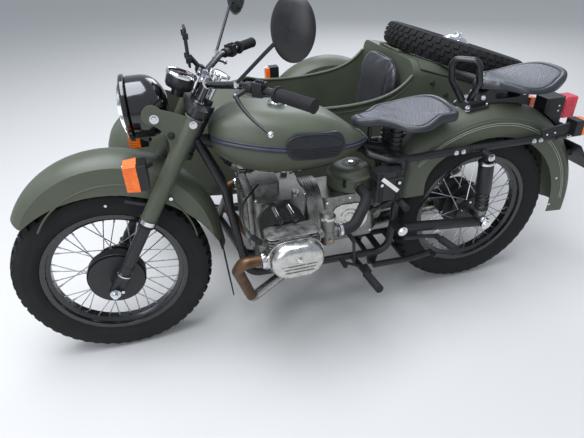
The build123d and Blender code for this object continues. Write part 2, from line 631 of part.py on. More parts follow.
with BuildPart() as tank_skin:
    add(tank_form(0))
with BuildPart() as seam:
    with BuildSketch(side_plane()) as seam_side:
        with BuildLine():
            Polyline((-332, 840), (236, 750), (236, 750 + SEAM_T), (-332, 840 + SEAM_T), close=True)
        make_face()
    extrude(seam_side.sketch, amount=200, both=True)
    add(tank_form(SEAM_OUT), mode=Mode.INTERSECT)
with BuildPart() as tank:
    add(tank_skin.part)
    add(seam.part)
    rod(at(0, -90, 880), at(0, -94, 922), 56)
    with BuildSketch(side_plane()) as tunnel:
        with BuildLine():
            Polyline((-360, 860), (-330, 838), (-230, 804), (60, 768), (240, 742), (240, 640), (-360, 640),
                     close=True)
        make_face()
    extrude(tunnel.sketch, amount=TUNNEL_HALF, both=True, mode=Mode.SUBTRACT)
tank.part.label = "fuel_tank"
export_step(tank.part, "parts/fuel_tank.step")

PAD_T = 12.0
with BuildPart() as knee_pads:
    for side in (1, -1):
        with BuildSketch(side_plane(side * 90)) as pad:
            with Locations(Location((0, 802, 0), (0, 0, -8))):
                RectangleRounded(214, 88, 42)
        extrude(pad.sketch, amount=side * 100)
    add(tank_form(PAD_T), mode=Mode.INTERSECT)
    add(tank.part, mode=Mode.SUBTRACT)
knee_pads.part.label = "knee_pads"
export_step(knee_pads.part, "parts/knee_pads.step")

# Rear mudguard: a deep arch held close over the rear wheel
REAR_C, REAR_R = (731.0, 335.0), TYRE_OD / 2 + 142
NOSE_R = 250.0
BEND_AT = 125.0
GUARD_DEPTH = 124.0
rear_joint = polar(REAR_C, REAR_R, BEND_AT)
nose_c = polar(rear_joint, NOSE_R, BEND_AT - 180)
with BuildPart() as rear_fender:
    with BuildLine(side_plane()) as ridge:
        Line((nose_c[0] - NOSE_R, 498), (nose_c[0] - NOSE_R, nose_c[1]))
        ThreePointArc(polar(nose_c, NOSE_R, 180), polar(nose_c, NOSE_R, (180 + BEND_AT) / 2), rear_joint)
        ThreePointArc(rear_joint, polar(REAR_C, REAR_R, 60), polar(REAR_C, REAR_R, -5))
    with BuildSketch(Plane(origin=ridge.line @ 0, x_dir=(1, 0, 0), z_dir=ridge.line % 0)) as section:
        guard_section(GUARD_HALF, 46, GUARD_DEPTH)
    sweep(section.sketch, path=ridge.line)
rear_fender.part.label = "rear_fender"
export_step(rear_fender.part, "parts/rear_fender.step")

# Swing arm with the rear axle and the final drive housing
ARM_X = 124.0
with BuildPart() as swing_arm:
    for side in (1, -1):
        rod(at(side * 122, *PIVOT), at(side * ARM_X, REAR_Y, AXLE_Z), 42)
        rod(at(side * 98, *PIVOT), at(side * 150, *PIVOT), 44)
        rod(at(side * 104, REAR_Y, AXLE_Z), at(side * 150, REAR_Y, AXLE_Z), 46)
    rod(at(150, REAR_Y, AXLE_Z), at(-150, REAR_Y, AXLE_Z), AXLE_D - 0.1)
    rod(at(-60, REAR_Y, AXLE_Z), at(-108, REAR_Y, AXLE_Z), 190)
swing_arm.part.label = "swing_arm"
export_step(swing_arm.part, "parts/swing_arm.step")

# Rear shock absorbers: an eye, a shroud, a spring showing below it and a clevis on the swing arm
with BuildPart() as shocks:
    for side in (1, -1):
        top, foot = Vector(*at(side * SHOCK_X, *SHOCK_TOP)), Vector(*at(side * SHOCK_X, 706, 386))
        down = (foot - top).normalized()
        rod(top + down * 8.6, top + down * 60, 40)
        rod(top + down * 24, top + down * 158, 58)
        rod(top + down * 158, foot, 30)
        for turn in range(5):
            rod(top + down * (166 + turn * 16), top + down * (174 + turn * 16), 56)
shocks.part.label = "rear_shocks"
export_step(shocks.part, "parts/rear_shocks.step")

# Saddles: dished rubber seats with a raised lip behind, on sprung brackets
RIDER_Z = 799.0
PILLION_Z = REAR_C[1] + REAR_R + 53
# name, y of the nose, y of the tail, height of the underside
SADDLES = (
    ("rider_saddle", 183.0, 542.0, RIDER_Z),
    ("pillion_saddle", 677.0, 1004.0, PILLION_Z),
)
for saddle_name, nose_y, tail_y, underside in SADDLES:
    with BuildPart() as saddle:
        with BuildSketch(plan_plane(underside)) as shape:
            with BuildLine():
                Spline((0, nose_y), (34, nose_y + 24), (76, tail_y - 258), (140, tail_y - 200), (154, tail_y - 138),
                       (118, tail_y - 46), (0, tail_y), tangents=((1, 0), (-1, 0)))
                Spline((0, tail_y), (-118, tail_y - 46), (-154, tail_y - 138), (-140, tail_y - 200),
                       (-76, tail_y - 258), (-34, nose_y + 24), (0, nose_y), tangents=((-1, 0), (1, 0)))
            make_face()
        extrude(shape.sketch, amount=70)
        with BuildSketch(side_plane()) as dish:
            with BuildLine():
                Spline((nose_y - 10, underside + 18), (nose_y + 60, underside + 34), (tail_y - 190, underside + 28),
                       (tail_y - 84, underside + 40), (tail_y + 10, underside + 66))
                Polyline((tail_y + 10, underside + 66), (tail_y + 10, underside), (nose_y - 10, underside),
                         (nose_y - 10, underside + 18))
            make_face()
        extrude(dish.sketch, amount=200, both=True, mode=Mode.INTERSECT)
    saddle.part.label = saddle_name
    export_step(saddle.part, f"parts/{saddle_name}.step")

with BuildPart() as saddle_bracket:
    slab(-44, 44, 330, 500, RIDER_Z - 14, RIDER_Z - GAP, 20)
    for side in (1, -1):
        rod(at(side * 40, UPRIGHT_Y, RAIL_Z + RAIL_D / 2 + GAP), at(side * 40, UPRIGHT_Y, RIDER_Z - GAP - 6), 36)
        for coil in range(4):
            rod(at(side * 40, UPRIGHT_Y, RAIL_Z + 24 + coil * 18), at(side * 40, UPRIGHT_Y, RAIL_Z + 33 + coil * 18), 46)
    rod(at(0, 254, RIDER_Z - 8 - GAP), at(0, 340, RIDER_Z - 8 - GAP), 14)
    rod(at(0, 254, BACKBONE_AT_SADDLE), at(0, 254, RIDER_Z - 8 - GAP), 16)
    add(frame.part, mode=Mode.SUBTRACT)
saddle_bracket.part.label = "rider_saddle_bracket"
export_step(saddle_bracket.part, "parts/rider_saddle_bracket.step")

with BuildPart() as pillion_bracket:
    with BuildSketch(side_plane()) as bridge:
        with BuildLine():
            Polyline((606, 780), (630, 838), (668, 846), (712, PILLION_Z - GAP), (900, PILLION_Z - GAP), (884, 780),
                     close=True)
        make_face()
        with Locations(REAR_C):
            Circle(REAR_R + GAP, mode=Mode.SUBTRACT)
        with Locations((800, PILLION_Z - 28)):
            RectangleRounded(110, 26, 10, mode=Mode.SUBTRACT)
    extrude(bridge.sketch, amount=36, both=True)
pillion_bracket.part.label = "pillion_bracket"
export_step(pillion_bracket.part, "parts/pillion_bracket.step")

# The passenger's rubber hoop, pinned to the bracket's nose and leaning forward
HOOP_D = 25.0
HOOP_TURN = math.radians(45)
HOOP_LEAN = -0.19
HOOP_AT = (0.0, 625.0, 926.0)


def hoop_point(across, up):
    """A point in the hoop's own plane."""
    return at(
        HOOP_AT[0] + across * math.sin(HOOP_TURN),
        HOOP_AT[1] + across * math.cos(HOOP_TURN) + up * HOOP_LEAN,
        HOOP_AT[2] + up,
    )


with BuildPart() as grab_hoop:
    tube([hoop_point(-12, -92), hoop_point(-50, -14), hoop_point(-48, 62), hoop_point(48, 62), hoop_point(50, -14),
          hoop_point(12, -92)], HOOP_D, 26)
    add(pillion_bracket.part, mode=Mode.SUBTRACT)
grab_hoop.part.label = "grab_hoop"
export_step(grab_hoop.part, "parts/grab_hoop.step")

# Battery box, kick starter, footrests and pedals, and the lamps at the tail
with BuildPart() as battery_box:
    slab(97, 160, 222, 326, 552, RAIL_Z - RAIL_D / 2 - GAP, 8)
    slab(94, 163, 219, 329, 634, 642, 8)
battery_box.part.label = "battery_box"
export_step(battery_box.part, "parts/battery_box.step")

with BuildPart() as foot_controls:
    for side in (1, -1):
        rod(at(side * (CRADLE_X + 15.3), 176, CRADLE_Z), at(side * 320, 186, 280), 24)
    for side in (1, -1):
        rod(at(side * 150.3, 360, 360), at(side * 156, 500, 345), 18)
        rod(at(side * 156, 500, 345), at(side * 250, 523, 345), 22)
    for side in (1, -1):
        rod(at(side * (GEARBOX_HALF + GAP), 150, 386), at(side * 150, 150, 386), 18)
        rod(at(side * 146, 150, 386), at(side * 160, 150, 282), 12)
        rod(at(side * 160, 150, 282), at(side * 160, 104, 306), 11)
        rod(at(side * 142, 104, 306), at(side * 186, 104, 306), 15)
    rod(at(160, 150, 282), at(160, 206, 253), 11)
    rod(at(142, 206, 253), at(186, 206, 253), 15)
foot_controls.part.label = "foot_controls"
export_step(foot_controls.part, "parts/foot_controls.step")

with BuildPart() as kick_start:
    rod(at(GEARBOX_HALF + GAP, 240, 484), at(110, 240, 484), 24)
    rod(at(104, 240, 484), at(112, 330, 528), 16)
    rod(at(112, 330, 528), at(196, 330, 528), 22)
kick_start.part.label = "kick_start"
export_step(kick_start.part, "parts/kick_start.step")

with BuildPart() as tail_lamp:
    slab(-36, 36, 990, 1080, 690, 812, 10)
    with BuildSketch(side_plane()) as crown:
        with Locations(REAR_C):
            Circle(REAR_R + GAP)
    extrude(crown.sketch, amount=60, both=True, mode=Mode.SUBTRACT)
tail_lamp.part.label = "tail_lamp"
export_step(tail_lamp.part, "parts/tail_lamp.step")

with BuildPart() as tail_lens:
    slab(-33, 33, 1080 + GAP, 1146, 722, 806, 12)
    fillet(tail_lens.edges().group_by(Axis.Z)[-1], 8)
tail_lens.part.label = "tail_lens"
export_step(tail_lens.part, "parts/tail_lens.step")

with BuildPart() as signals:
    for side in (1, -1):
        slab(side * 150 - 30, side * 150 + 30, 1016, 1080, 704, 768, 12)
        rod(at(side * (RAIL_X + RAIL_D / 2 + GAP - 6), 962, RAIL_Z + 12), at(side * 150, 1030, 724), 14)
    add(frame.part, mode=Mode.SUBTRACT)
signals.part.label = "rear_signals"
export_step(signals.part, "parts/rear_signals.step")

with BuildPart() as front_signals:
    for side in (1, -1):
        slab(side * 172 - 34, side * 172 + 34, -606, -540, 758, 842, 12)
        rod(at(side * 138.3, -560, 800), at(side * 106, -530, 800), 16)
front_signals.part.label = "front_signals"
export_step(front_signals.part, "parts/front_signals.step")

# Centre stand, folded up behind the lower rails
with BuildPart() as stand:
    rod(at(-120, *STAND_AXIS), at(120, *STAND_AXIS), STAND_PIN_D)
    for side in (1, -1):
        tube([at(side * 112, *STAND_AXIS), at(side * 114, 420, 218), at(side * 116, 520, 234)], 26, 40)
    rod(at(112, 512, 232), at(150, 524, 236), 20)
    rod(at(-115, 400, 218.5), at(115, 400, 218.5), 18)
stand.part.label = "centre_stand"
export_step(stand.part, "parts/centre_stand.step")

# Sidecar: a sheet steel body shaped by its sections, open over the seat and closed by a sloping lid behind
BODY_TO_WHEEL = 520.0
SIDECAR_X = BODY_TO_WHEEL - TRACK
WALL = 4.0
# y, half width, bottom, top, corner radius
SECTIONS = (
    (-747, 58, 512, 596, 36),
    (-700, 132, 452, 686, 84),
    (-600, 174, 398, 742, 96),
    (-420, 207, 350, 770, 96),
    (-120, 231, 332, 792, 90),
    (60, 250, 330, 818, 84),
    (250, 268, 330, 852, 80),
    (620, 280, 332, 905, 60),
    (900, 270, 372, 814, 56),
    (1140, 240, 452, 736, 50),
    (1196, 215, 500, 714, 46),
)


def hull(inset):
    """The closed shape of the sidecar body, made smaller by inset all round."""
    rings = []
    for y, half_width, low, high, radius in SECTIONS:
        end = inset if y == SECTIONS[0][0] else -inset if y == SECTIONS[-1][0] else 0
        with BuildSketch(Plane(origin=at(SIDECAR_X, y + end, (low + high) / 2), x_dir=(1, 0, 0), z_dir=(0, -1, 0))) as ring:
            RectangleRounded(2 * (half_width - inset), high - low - 2 * inset, radius - inset)
        rings.append(ring.sketch)
    return loft(rings, mode=Mode.PRIVATE)


COCKPIT_FROM = -120.0
BULKHEAD_Y = 604.0
LID_FROM, LID_TO = 634.0, 1160.0
LID_GAP = 3.0
HINGE = (618.0, 912.0)
HINGE_PIN_D = 6.0
HINGE_GAP = 0.3
with BuildPart() as closed:
    add(hull(0))
with BuildPart() as hollow:
    add(hull(WALL))

with BuildPart() as opening:
    with BuildSketch(side_plane(SIDECAR_X)) as rim_cut:
        with BuildLine():
            Spline((-150, 796), (40, 752), (230, 742), (376, 750), (525, 790), (BULKHEAD_Y - WALL, 852))
            Polyline((BULKHEAD_Y - WALL, 852), (BULKHEAD_Y - WALL, 1000), (-150, 1000), (-150, 796))
        make_face()
    extrude(rim_cut.sketch, amount=300, both=True)
    with BuildSketch(plan_plane(600)) as plan_cut:
        with BuildLine():
            ThreePointArc((SIDECAR_X + 300, 120), (SIDECAR_X, COCKPIT_FROM), (SIDECAR_X - 300, 120))
            Polyline((SIDECAR_X - 300, 120), (SIDECAR_X - 300, BULKHEAD_Y - WALL), (SIDECAR_X + 300, BULKHEAD_Y - WALL),
                     (SIDECAR_X + 300, 120))
        make_face()
    extrude(plan_cut.sketch, amount=500, mode=Mode.INTERSECT)

with BuildPart() as lid_zone:
    with BuildSketch(side_plane(SIDECAR_X)) as lid_side:
        with BuildLine():
            Polyline((LID_FROM, 870), (LID_FROM, 1000), (1300, 1000), (1300, 660), (LID_TO, 698), close=True)
        make_face()
    extrude(lid_side.sketch, amount=320, both=True)

with BuildPart() as sidecar:
    add(closed.part)
    add(hollow.part, mode=Mode.SUBTRACT)
    add(opening.part, mode=Mode.SUBTRACT)
    add(lid_zone.part, mode=Mode.SUBTRACT)
    with BuildSketch(cross_plane(BULKHEAD_Y)) as bulkhead:
        with Locations((SIDECAR_X, 620)):
            Rectangle(600, 620)
    bulkhead_panel = extrude(bulkhead.sketch, amount=WALL, mode=Mode.PRIVATE)
    with BuildPart(mode=Mode.PRIVATE) as panel:
        add(bulkhead_panel)
        add(closed.part, mode=Mode.INTERSECT)
    add(panel.part)
    for side in (1, -1):
        rod(at(SIDECAR_X + side * 72, *HINGE), at(SIDECAR_X + side * 100, *HINGE), 18)
    rod(at(SIDECAR_X - 100, *HINGE), at(SIDECAR_X + 100, *HINGE), HINGE_PIN_D)
sidecar.part.label = "sidecar_body"
export_step(sidecar.part, "parts/sidecar_body.step")

# Boot lid: the top of the tail, hinged behind the seat
with BuildPart() as lid:
    add(closed.part)
    add(hollow.part, mode=Mode.SUBTRACT)
    with BuildSketch(side_plane(SIDECAR_X)) as lid_cut:
        with BuildLine():
            Polyline((LID_FROM + LID_GAP, 870 + LID_GAP), (LID_FROM + LID_GAP, 1000), (1300, 1000), (1300, 663),
                     (LID_TO, 698 + LID_GAP), close=True)
        make_face()
    extrude(lid_cut.sketch, amount=320, both=True, mode=Mode.INTERSECT)
    rod(at(SIDECAR_X - 69, *HINGE), at(SIDECAR_X + 69, *HINGE), HINGE_PIN_D + 5)
    for side in (1, -1):
        with BuildSketch(side_plane(SIDECAR_X + side * 46)) as strap:
            with BuildLine():
                Polyline((618, 907), (634, 906), (641, 899.5), (690, 888.5), (690, 894), (644, 906), (637, 912),
                         (618, 917), close=True)
            make_face()
        extrude(strap.sketch, amount=20, both=True)
    with Locations(Plane(origin=at(SIDECAR_X - 72, *HINGE), z_dir=(1, 0, 0))):
        Cylinder(HINGE_PIN_D / 2 + HINGE_GAP, 144, align=(Align.CENTER, Align.CENTER, Align.MIN), mode=Mode.SUBTRACT)
lid.part.label = "boot_lid"
export_step(lid.part, "parts/boot_lid.step")

# Spare wheel on the lid, laid flat with its drum down and held by a stud with a round cap
SPARE = (958.0, 866.0)
SPARE_TILT = 18.0
spare_up = Vector(0, math.sin(math.radians(SPARE_TILT)), math.cos(math.radians(SPARE_TILT)))
spare_middle = Vector(*at(SIDECAR_X, *SPARE))
spare_place = Location(Plane(origin=spare_middle, x_dir=(1, 0, 0), z_dir=-spare_up))
spare_tyre = cover.part.moved(spare_place)
spare_tyre.label = "spare_tyre"
export_step(spare_tyre, "parts/spare_tyre.step")
spare_wheel = laced.part.moved(spare_place)
spare_wheel.label = "spare_wheel"
export_step(spare_wheel, "parts/spare_wheel.step")
with BuildPart() as clamp:
    rod(spare_middle - spare_up * 100, spare_middle - spare_up * (HUB_L / 2 + GAP), 90)
    rod(spare_middle - spare_up * (HUB_L / 2 + GAP), spare_middle + spare_up * 60, AXLE_D - 0.1)
    rod(spare_middle + spare_up * (HUB_L / 2 + GAP), spare_middle + spare_up * 64, 118, 96)
    add(closed.part, mode=Mode.SUBTRACT)
clamp.part.label = "spare_clamp"
export_step(clamp.part, "parts/spare_clamp.step")

# Sidecar seat: loose cushion and a raked back, both in black leather cloth
SEAT_HALF = 212.0
BACK_TOP = 905.0
with BuildPart() as seat_base:
    slab(SIDECAR_X - 190, SIDECAR_X + 190, 150, 164, 350, 470)
    slab(SIDECAR_X - 190, SIDECAR_X + 190, 486, 500, 350, 470)
    slab(SIDECAR_X - 190, SIDECAR_X + 190, 150, 500, 462, 470)
    with BuildPart(mode=Mode.PRIVATE) as feet:
        slab(SIDECAR_X - 190, SIDECAR_X + 190, 150, 164, 320, 360)
        slab(SIDECAR_X - 190, SIDECAR_X + 190, 486, 500, 320, 360)
        add(hollow.part, mode=Mode.INTERSECT)
    add(feet.part)
seat_base.part.label = "seat_base"
export_step(seat_base.part, "parts/seat_base.step")

with BuildPart() as cushion:
    slab(SIDECAR_X - SEAT_HALF, SIDECAR_X + SEAT_HALF, 140, 505, 470 + GAP, 560, 50)
cushion.part.label = "seat_cushion"
export_step(cushion.part, "parts/seat_cushion.step")

with BuildPart() as backrest:
    with BuildSketch(side_plane(SIDECAR_X)) as back_side:
        with BuildLine():
            Polyline((508, 562), (558, BACK_TOP), (BULKHEAD_Y - WALL - GAP, BACK_TOP), (BULKHEAD_Y - WALL - GAP, 562),
                     close=True)
        make_face()
    extrude(back_side.sketch, amount=SEAT_HALF, both=True)
    with BuildSketch(cross_plane(0)) as arch_top:
        with Locations((SIDECAR_X, (BACK_TOP + 380) / 2)):
            RectangleRounded(2 * SEAT_HALF, BACK_TOP - 380, 130)
    extrude(arch_top.sketch, amount=-700, mode=Mode.INTERSECT)
backrest.part.label = "seat_back"
export_step(backrest.part, "parts/seat_back.step")

# Sidecar chassis: a tube loop under the body, arms and struts to the motorcycle, and the stub axle
CHASSIS_D = 40.0
CHASSIS_X = (-400.0, -TRACK + 300)
CHASSIS_Z = 300.0
CHASSIS_Y = (-360.0, 1000.0)
ARM_Y = 262.0
# y of each crossing tube, height of the body's underside there
SEATS = (
    (ARM_Y, 328.9),
    (640.0, 331.2),
)
with BuildPart() as chassis:
    left, right = CHASSIS_X
    front, back = CHASSIS_Y
    for side_x in CHASSIS_X:
        tube([at(SIDECAR_X, front, CHASSIS_Z), at(side_x, front, CHASSIS_Z), at(side_x, back, CHASSIS_Z),
              at(SIDECAR_X, back, CHASSIS_Z)], CHASSIS_D, 90)
    for cross_y, seat_z in SEATS:
        rod(at(left, cross_y, CHASSIS_Z), at(right, cross_y, CHASSIS_Z), CHASSIS_D - 4)
        for pad_x in (SIDECAR_X - 120, SIDECAR_X + 120):
            rod(at(pad_x, cross_y, CHASSIS_Z), at(pad_x, cross_y, seat_z), 50)
    for pad_x in (SIDECAR_X - 60, SIDECAR_X + 60):
        rod(at(pad_x, front, CHASSIS_Z), at(pad_x, front, 340.2), 36)
    rod(at(left, ARM_Y, CHASSIS_Z), at(-CRADLE_X - 4, 272, 274), 34)
    rod(at(left, -300, CHASSIS_Z), at(-324, -316, CHASSIS_Z + 4), 34)
    rod(at(-324, -316, CHASSIS_Z + 4), at(-66, -262, 300), 34)
    rod(at(-326, -322, CHASSIS_Z + 4), at(-50, -296, 560), 26)
    rod(at(left, 560, CHASSIS_Z), at(-322, 560, CHASSIS_Z + 6), 34)
    rod(at(-322, 560, CHASSIS_Z + 6), at(-RAIL_X - 2, 400, RAIL_Z - 2), 30)
    rod(at(right, ARM_Y, CHASSIS_Z), at(right - 44, ARM_Y, CHASSIS_Z), 50)
    add(frame.part, mode=Mode.SUBTRACT)
chassis.part.label = "sidecar_chassis"
export_step(chassis.part, "parts/sidecar_chassis.step")

# The sidecar wheel's trailing arm and its stub axle
with BuildPart() as sidecar_arm:
    hub_end = -TRACK + HUB_L / 2
    rod(at(right - 44 - GAP, ARM_Y, CHASSIS_Z), at(right - 160, ARM_Y, CHASSIS_Z), 50)
    rod(at(right - 136, ARM_Y, CHASSIS_Z), at(right - 170, SIDE_Y, AXLE_Z), 40)
    rod(at(right - 144, SIDE_Y, AXLE_Z), at(hub_end + GAP, SIDE_Y, AXLE_Z), 56)
    rod(at(hub_end + 30, SIDE_Y, AXLE_Z), at(-TRACK - HUB_L / 2 - 12, SIDE_Y, AXLE_Z), AXLE_D - 0.1)
sidecar_arm.part.label = "sidecar_arm"
export_step(sidecar_arm.part, "parts/sidecar_arm.step")

# Sidecar mudguard with its two stays, and the lamp on its front
GUARD_C, GUARD_R = (466.0, 365.0), TYRE_OD / 2 + 65
SIDE_GUARD_HALF = 85.0
with BuildPart() as sidecar_fender:
    with BuildLine(side_plane(-TRACK)) as ridge:
        ThreePointArc(polar(GUARD_C, GUARD_R, 172), polar(GUARD_C, GUARD_R, 84), polar(GUARD_C, GUARD_R, -5))
    with BuildSketch(Plane(origin=ridge.line @ 0, x_dir=(1, 0, 0), z_dir=ridge.line % 0)) as section:
        guard_section(SIDE_GUARD_HALF, 40, 110)
    sweep(section.sketch, path=ridge.line)
    with BuildPart(mode=Mode.PRIVATE) as stays:
        for stay_y in (250, 682):
            rod(at(-TRACK + SIDE_GUARD_HALF - 1, stay_y, 660), at(-TRACK + 280, stay_y + 6, 540), 24)
        add(closed.part, mode=Mode.SUBTRACT)
    add(stays.part)
sidecar_fender.part.label = "sidecar_fender"
export_step(sidecar_fender.part, "parts/sidecar_fender.step")

with BuildPart() as marker_lamp:
    slab(-TRACK - 30, -TRACK + 30, 96, 180, 664, 750, 14)
    add(sidecar_fender.part, mode=Mode.SUBTRACT)
marker_lamp.part.label = "sidecar_lamp"
export_step(marker_lamp.part, "parts/sidecar_lamp.step")

# Phone holder on the bar, and the number plate with its holder
with BuildPart() as phone_holder:
    slab(-134, -54, -372, -352, 1030, 1170, 6)
    rod(at(-90, -352, 1060), at(-90, -330, 1034), 16)
    add(handlebar.part, mode=Mode.SUBTRACT)
phone_holder.part.label = "phone_holder"
export_step(phone_holder.part, "parts/phone_holder.step")

PLATE_TOP, PLATE_FOOT = (1163.0, 614.5), (1265.0, 482.5)
with BuildPart() as plate_holder:
    with BuildSketch(side_plane()) as plate_side:
        with BuildLine():
            Polyline((1160, 612), (1262, 480), PLATE_FOOT, PLATE_TOP, close=True)
        make_face()
    extrude(plate_side.sketch, amount=95, both=True)
    slab(-30, 30, 1100, 1200, 540, 570)
    with BuildSketch(side_plane()) as beyond_plate:
        with BuildLine():
            Polyline(PLATE_TOP, PLATE_FOOT, (1300, PLATE_FOOT[1]), (1300, PLATE_TOP[1]), close=True)
        make_face()
    extrude(beyond_plate.sketch, amount=30, both=True, mode=Mode.SUBTRACT)
    with BuildSketch(side_plane()) as arch:
        with Locations(REAR_C):
            Circle(REAR_R)
    extrude(arch.sketch, amount=GUARD_HALF, both=True, mode=Mode.SUBTRACT)
plate_holder.part.label = "plate_holder"
export_step(plate_holder.part, "parts/plate_holder.step")
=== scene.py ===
import math

import bmesh
import bpy
from mathutils import Matrix, Vector
from mathutils.bvhtree import BVHTree


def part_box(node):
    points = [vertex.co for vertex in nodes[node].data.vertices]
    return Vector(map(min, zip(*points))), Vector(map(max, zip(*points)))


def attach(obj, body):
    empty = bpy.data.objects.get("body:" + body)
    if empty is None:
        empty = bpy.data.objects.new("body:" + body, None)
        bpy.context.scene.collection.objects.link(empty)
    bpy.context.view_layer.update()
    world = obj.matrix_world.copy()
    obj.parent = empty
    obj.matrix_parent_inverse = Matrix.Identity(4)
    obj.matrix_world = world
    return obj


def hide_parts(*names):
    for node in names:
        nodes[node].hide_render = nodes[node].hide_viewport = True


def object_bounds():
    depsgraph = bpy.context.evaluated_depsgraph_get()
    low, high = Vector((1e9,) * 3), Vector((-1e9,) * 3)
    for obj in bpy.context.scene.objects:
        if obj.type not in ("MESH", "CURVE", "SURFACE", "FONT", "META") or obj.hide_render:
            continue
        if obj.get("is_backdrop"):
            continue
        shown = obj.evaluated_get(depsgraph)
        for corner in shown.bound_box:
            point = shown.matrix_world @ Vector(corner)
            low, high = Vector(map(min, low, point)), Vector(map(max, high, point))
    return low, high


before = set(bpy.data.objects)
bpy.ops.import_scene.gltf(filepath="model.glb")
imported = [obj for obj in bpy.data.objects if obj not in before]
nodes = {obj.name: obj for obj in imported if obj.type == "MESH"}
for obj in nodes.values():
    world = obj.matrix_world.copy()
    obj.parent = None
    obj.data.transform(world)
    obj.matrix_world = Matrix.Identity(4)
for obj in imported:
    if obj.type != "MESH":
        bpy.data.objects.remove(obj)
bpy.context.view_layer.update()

# Tyres. Block-tread 19-inch covers, moulded in black rubber over a fabric carcass: a row of blocks each side of
# the middle and longer lugs on the shoulders. The flanks are smooth with two moulded rings.
TYRE_R, TREAD_DEPTH = 350.0, 8.0
PITCHES = 52


def linear(hex_colour):
    """An sRGB hex colour as the linear colour that a shader takes."""
    channels = [int(hex_colour[i:i + 2], 16) / 255 for i in (1, 3, 5)]
    return [c / 12.92 if c <= 0.04045 else ((c + 0.055) / 1.055) ** 2.4 for c in channels] + [1.0]


def add_node(tree, kind, settings=None, inputs=None):
    """A shader node with its settings, its sockets set to values or linked to other nodes' outputs."""
    node = tree.nodes.new("ShaderNode" + kind)
    for name, value in (settings or {}).items():
        setattr(node, name, value)
    for name, value in (inputs or {}).items():
        if isinstance(value, bpy.types.NodeSocket):
            tree.links.new(value, node.inputs[name])
        else:
            node.inputs[name].default_value = value
    return node


def new_material(name, colour, roughness, patches=None, grains=None, **sockets):
    """A named material with its shader's constant values. Patches make colour and gloss uneven: their size in mm,
    two colours and two roughnesses. Grains are a fine bump: their size and depth in mm, and their detail."""
    material = bpy.data.materials.new(name)
    material.use_nodes = True
    tree = material.node_tree
    shader = tree.nodes["Principled BSDF"]
    shader.inputs["Base Color"].default_value = linear(colour)
    shader.inputs["Roughness"].default_value = roughness
    for socket, value in sockets.items():
        shader.inputs[socket.replace("_", " ")].default_value = value
    place = add_node(tree, "TexCoord").outputs["Object"]
    if patches:
        size_mm, colours, gloss = patches
        cloud = add_node(tree, "TexNoise", inputs={
            "Vector": place, "Scale": 1000 / size_mm, "Detail": 4.0, "Roughness": 0.6}).outputs["Fac"]
        shade = add_node(tree, "ValToRGB", inputs={"Fac": cloud})
        for stop, position, tint in zip(shade.color_ramp.elements, (0.3, 0.7), colours):
            stop.position, stop.color = position, linear(tint)
        uneven = add_node(tree, "MapRange", inputs={
            "Value": cloud, "From Min": 0.3, "From Max": 0.7, "To Min": gloss[0], "To Max": gloss[1]})
        tree.links.new(shade.outputs["Color"], shader.inputs["Base Color"])
        tree.links.new(uneven.outputs["Result"], shader.inputs["Roughness"])
    if grains:
        size_mm, depth_mm, detail = grains if len(grains) == 3 else (*grains, 2.0)
        fine = add_node(tree, "TexNoise", inputs={"Vector": place, "Scale": 1000 / size_mm, "Detail": detail})
        emboss(material, fine.outputs["Fac"], depth_mm)
    return material


def emboss(material, height, depth_mm, strength=1.0):
    """Raises a material's surface by a pattern, as a bump of that depth."""
    tree = material.node_tree
    bump = add_node(tree, "Bump", inputs={"Height": height, "Distance": depth_mm / 1000, "Strength": strength})
    tree.links.new(bump.outputs["Normal"], tree.nodes["Principled BSDF"].inputs["Normal"])


def facing(origin, axis, across=(0, 0, 1)):
    """A place at origin whose own Z runs along axis, and whose X lies as near as it can to across."""
    z = Vector(axis).normalized()
    x = Vector(across) - z * Vector(across).dot(z)
    x = x.normalized() if x.length > 1e-6 else z.orthogonal().normalized()
    return Matrix.Translation(origin) @ Matrix((x, z.cross(x), z)).transposed().to_4x4()


def circle(count):
    """The cosine and sine of that many even steps round a circle."""
    angles = (2 * math.pi * step / count for step in range(count))
    return [(math.cos(angle), math.sin(angle)) for angle in angles]


def turn(mesh, profile, place, steps=64, slot=0, closed=False):
    """Adds a turned form: the profile's (radius, height) points, in mm, taken round the place's own Z."""
    rings = []
    for c, s in circle(steps):
        rings.append([mesh.verts.new(place @ Vector((r * c / 1000, r * s / 1000, h / 1000))) for r, h in profile])
    count = len(profile)
    for ring, after in zip(rings, rings[1:] + rings[:1]):
        for i in range(count if closed else count - 1):
            j = (i + 1) % count
            face = mesh.faces.new((ring[i], after[i], after[j], ring[j]))
            face.material_index = slot
            face.smooth = True


def piece(name, mesh, materials, body, replaces=(), crease=35.0, bevel=0.0, subdivide=0):
    """Makes the mesh a shown piece that rides on a body, with its materials and its edges softened."""
    bmesh.ops.recalc_face_normals(mesh, faces=mesh.faces)
    data = bpy.data.meshes.new(name)
    mesh.to_mesh(data)
    mesh.free()
    for face in data.polygons:
        face.use_smooth = True
    data.set_sharp_from_angle(angle=math.radians(crease))
    obj = bpy.data.objects.new(name, data)
    bpy.context.collection.objects.link(obj)
    for material in materials:
        data.materials.append(material)
    if bevel:
        edge = obj.modifiers.new("soft_edges", "BEVEL")
        edge.width, edge.segments, edge.limit_method = bevel / 1000, 2, "ANGLE"
        edge.harden_normals = True
    if subdivide:
        smooth = obj.modifiers.new("smooth", "SUBSURF")
        smooth.levels = smooth.render_levels = subdivide
    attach(obj, body)
    if replaces:
        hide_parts(*replaces)
    return obj


def crown(h):
    """The carcass radius under the tread, h mm from the middle."""
    return TYRE_R - TREAD_DEPTH - 12.0 * (abs(h) / 44.0) ** 2.4


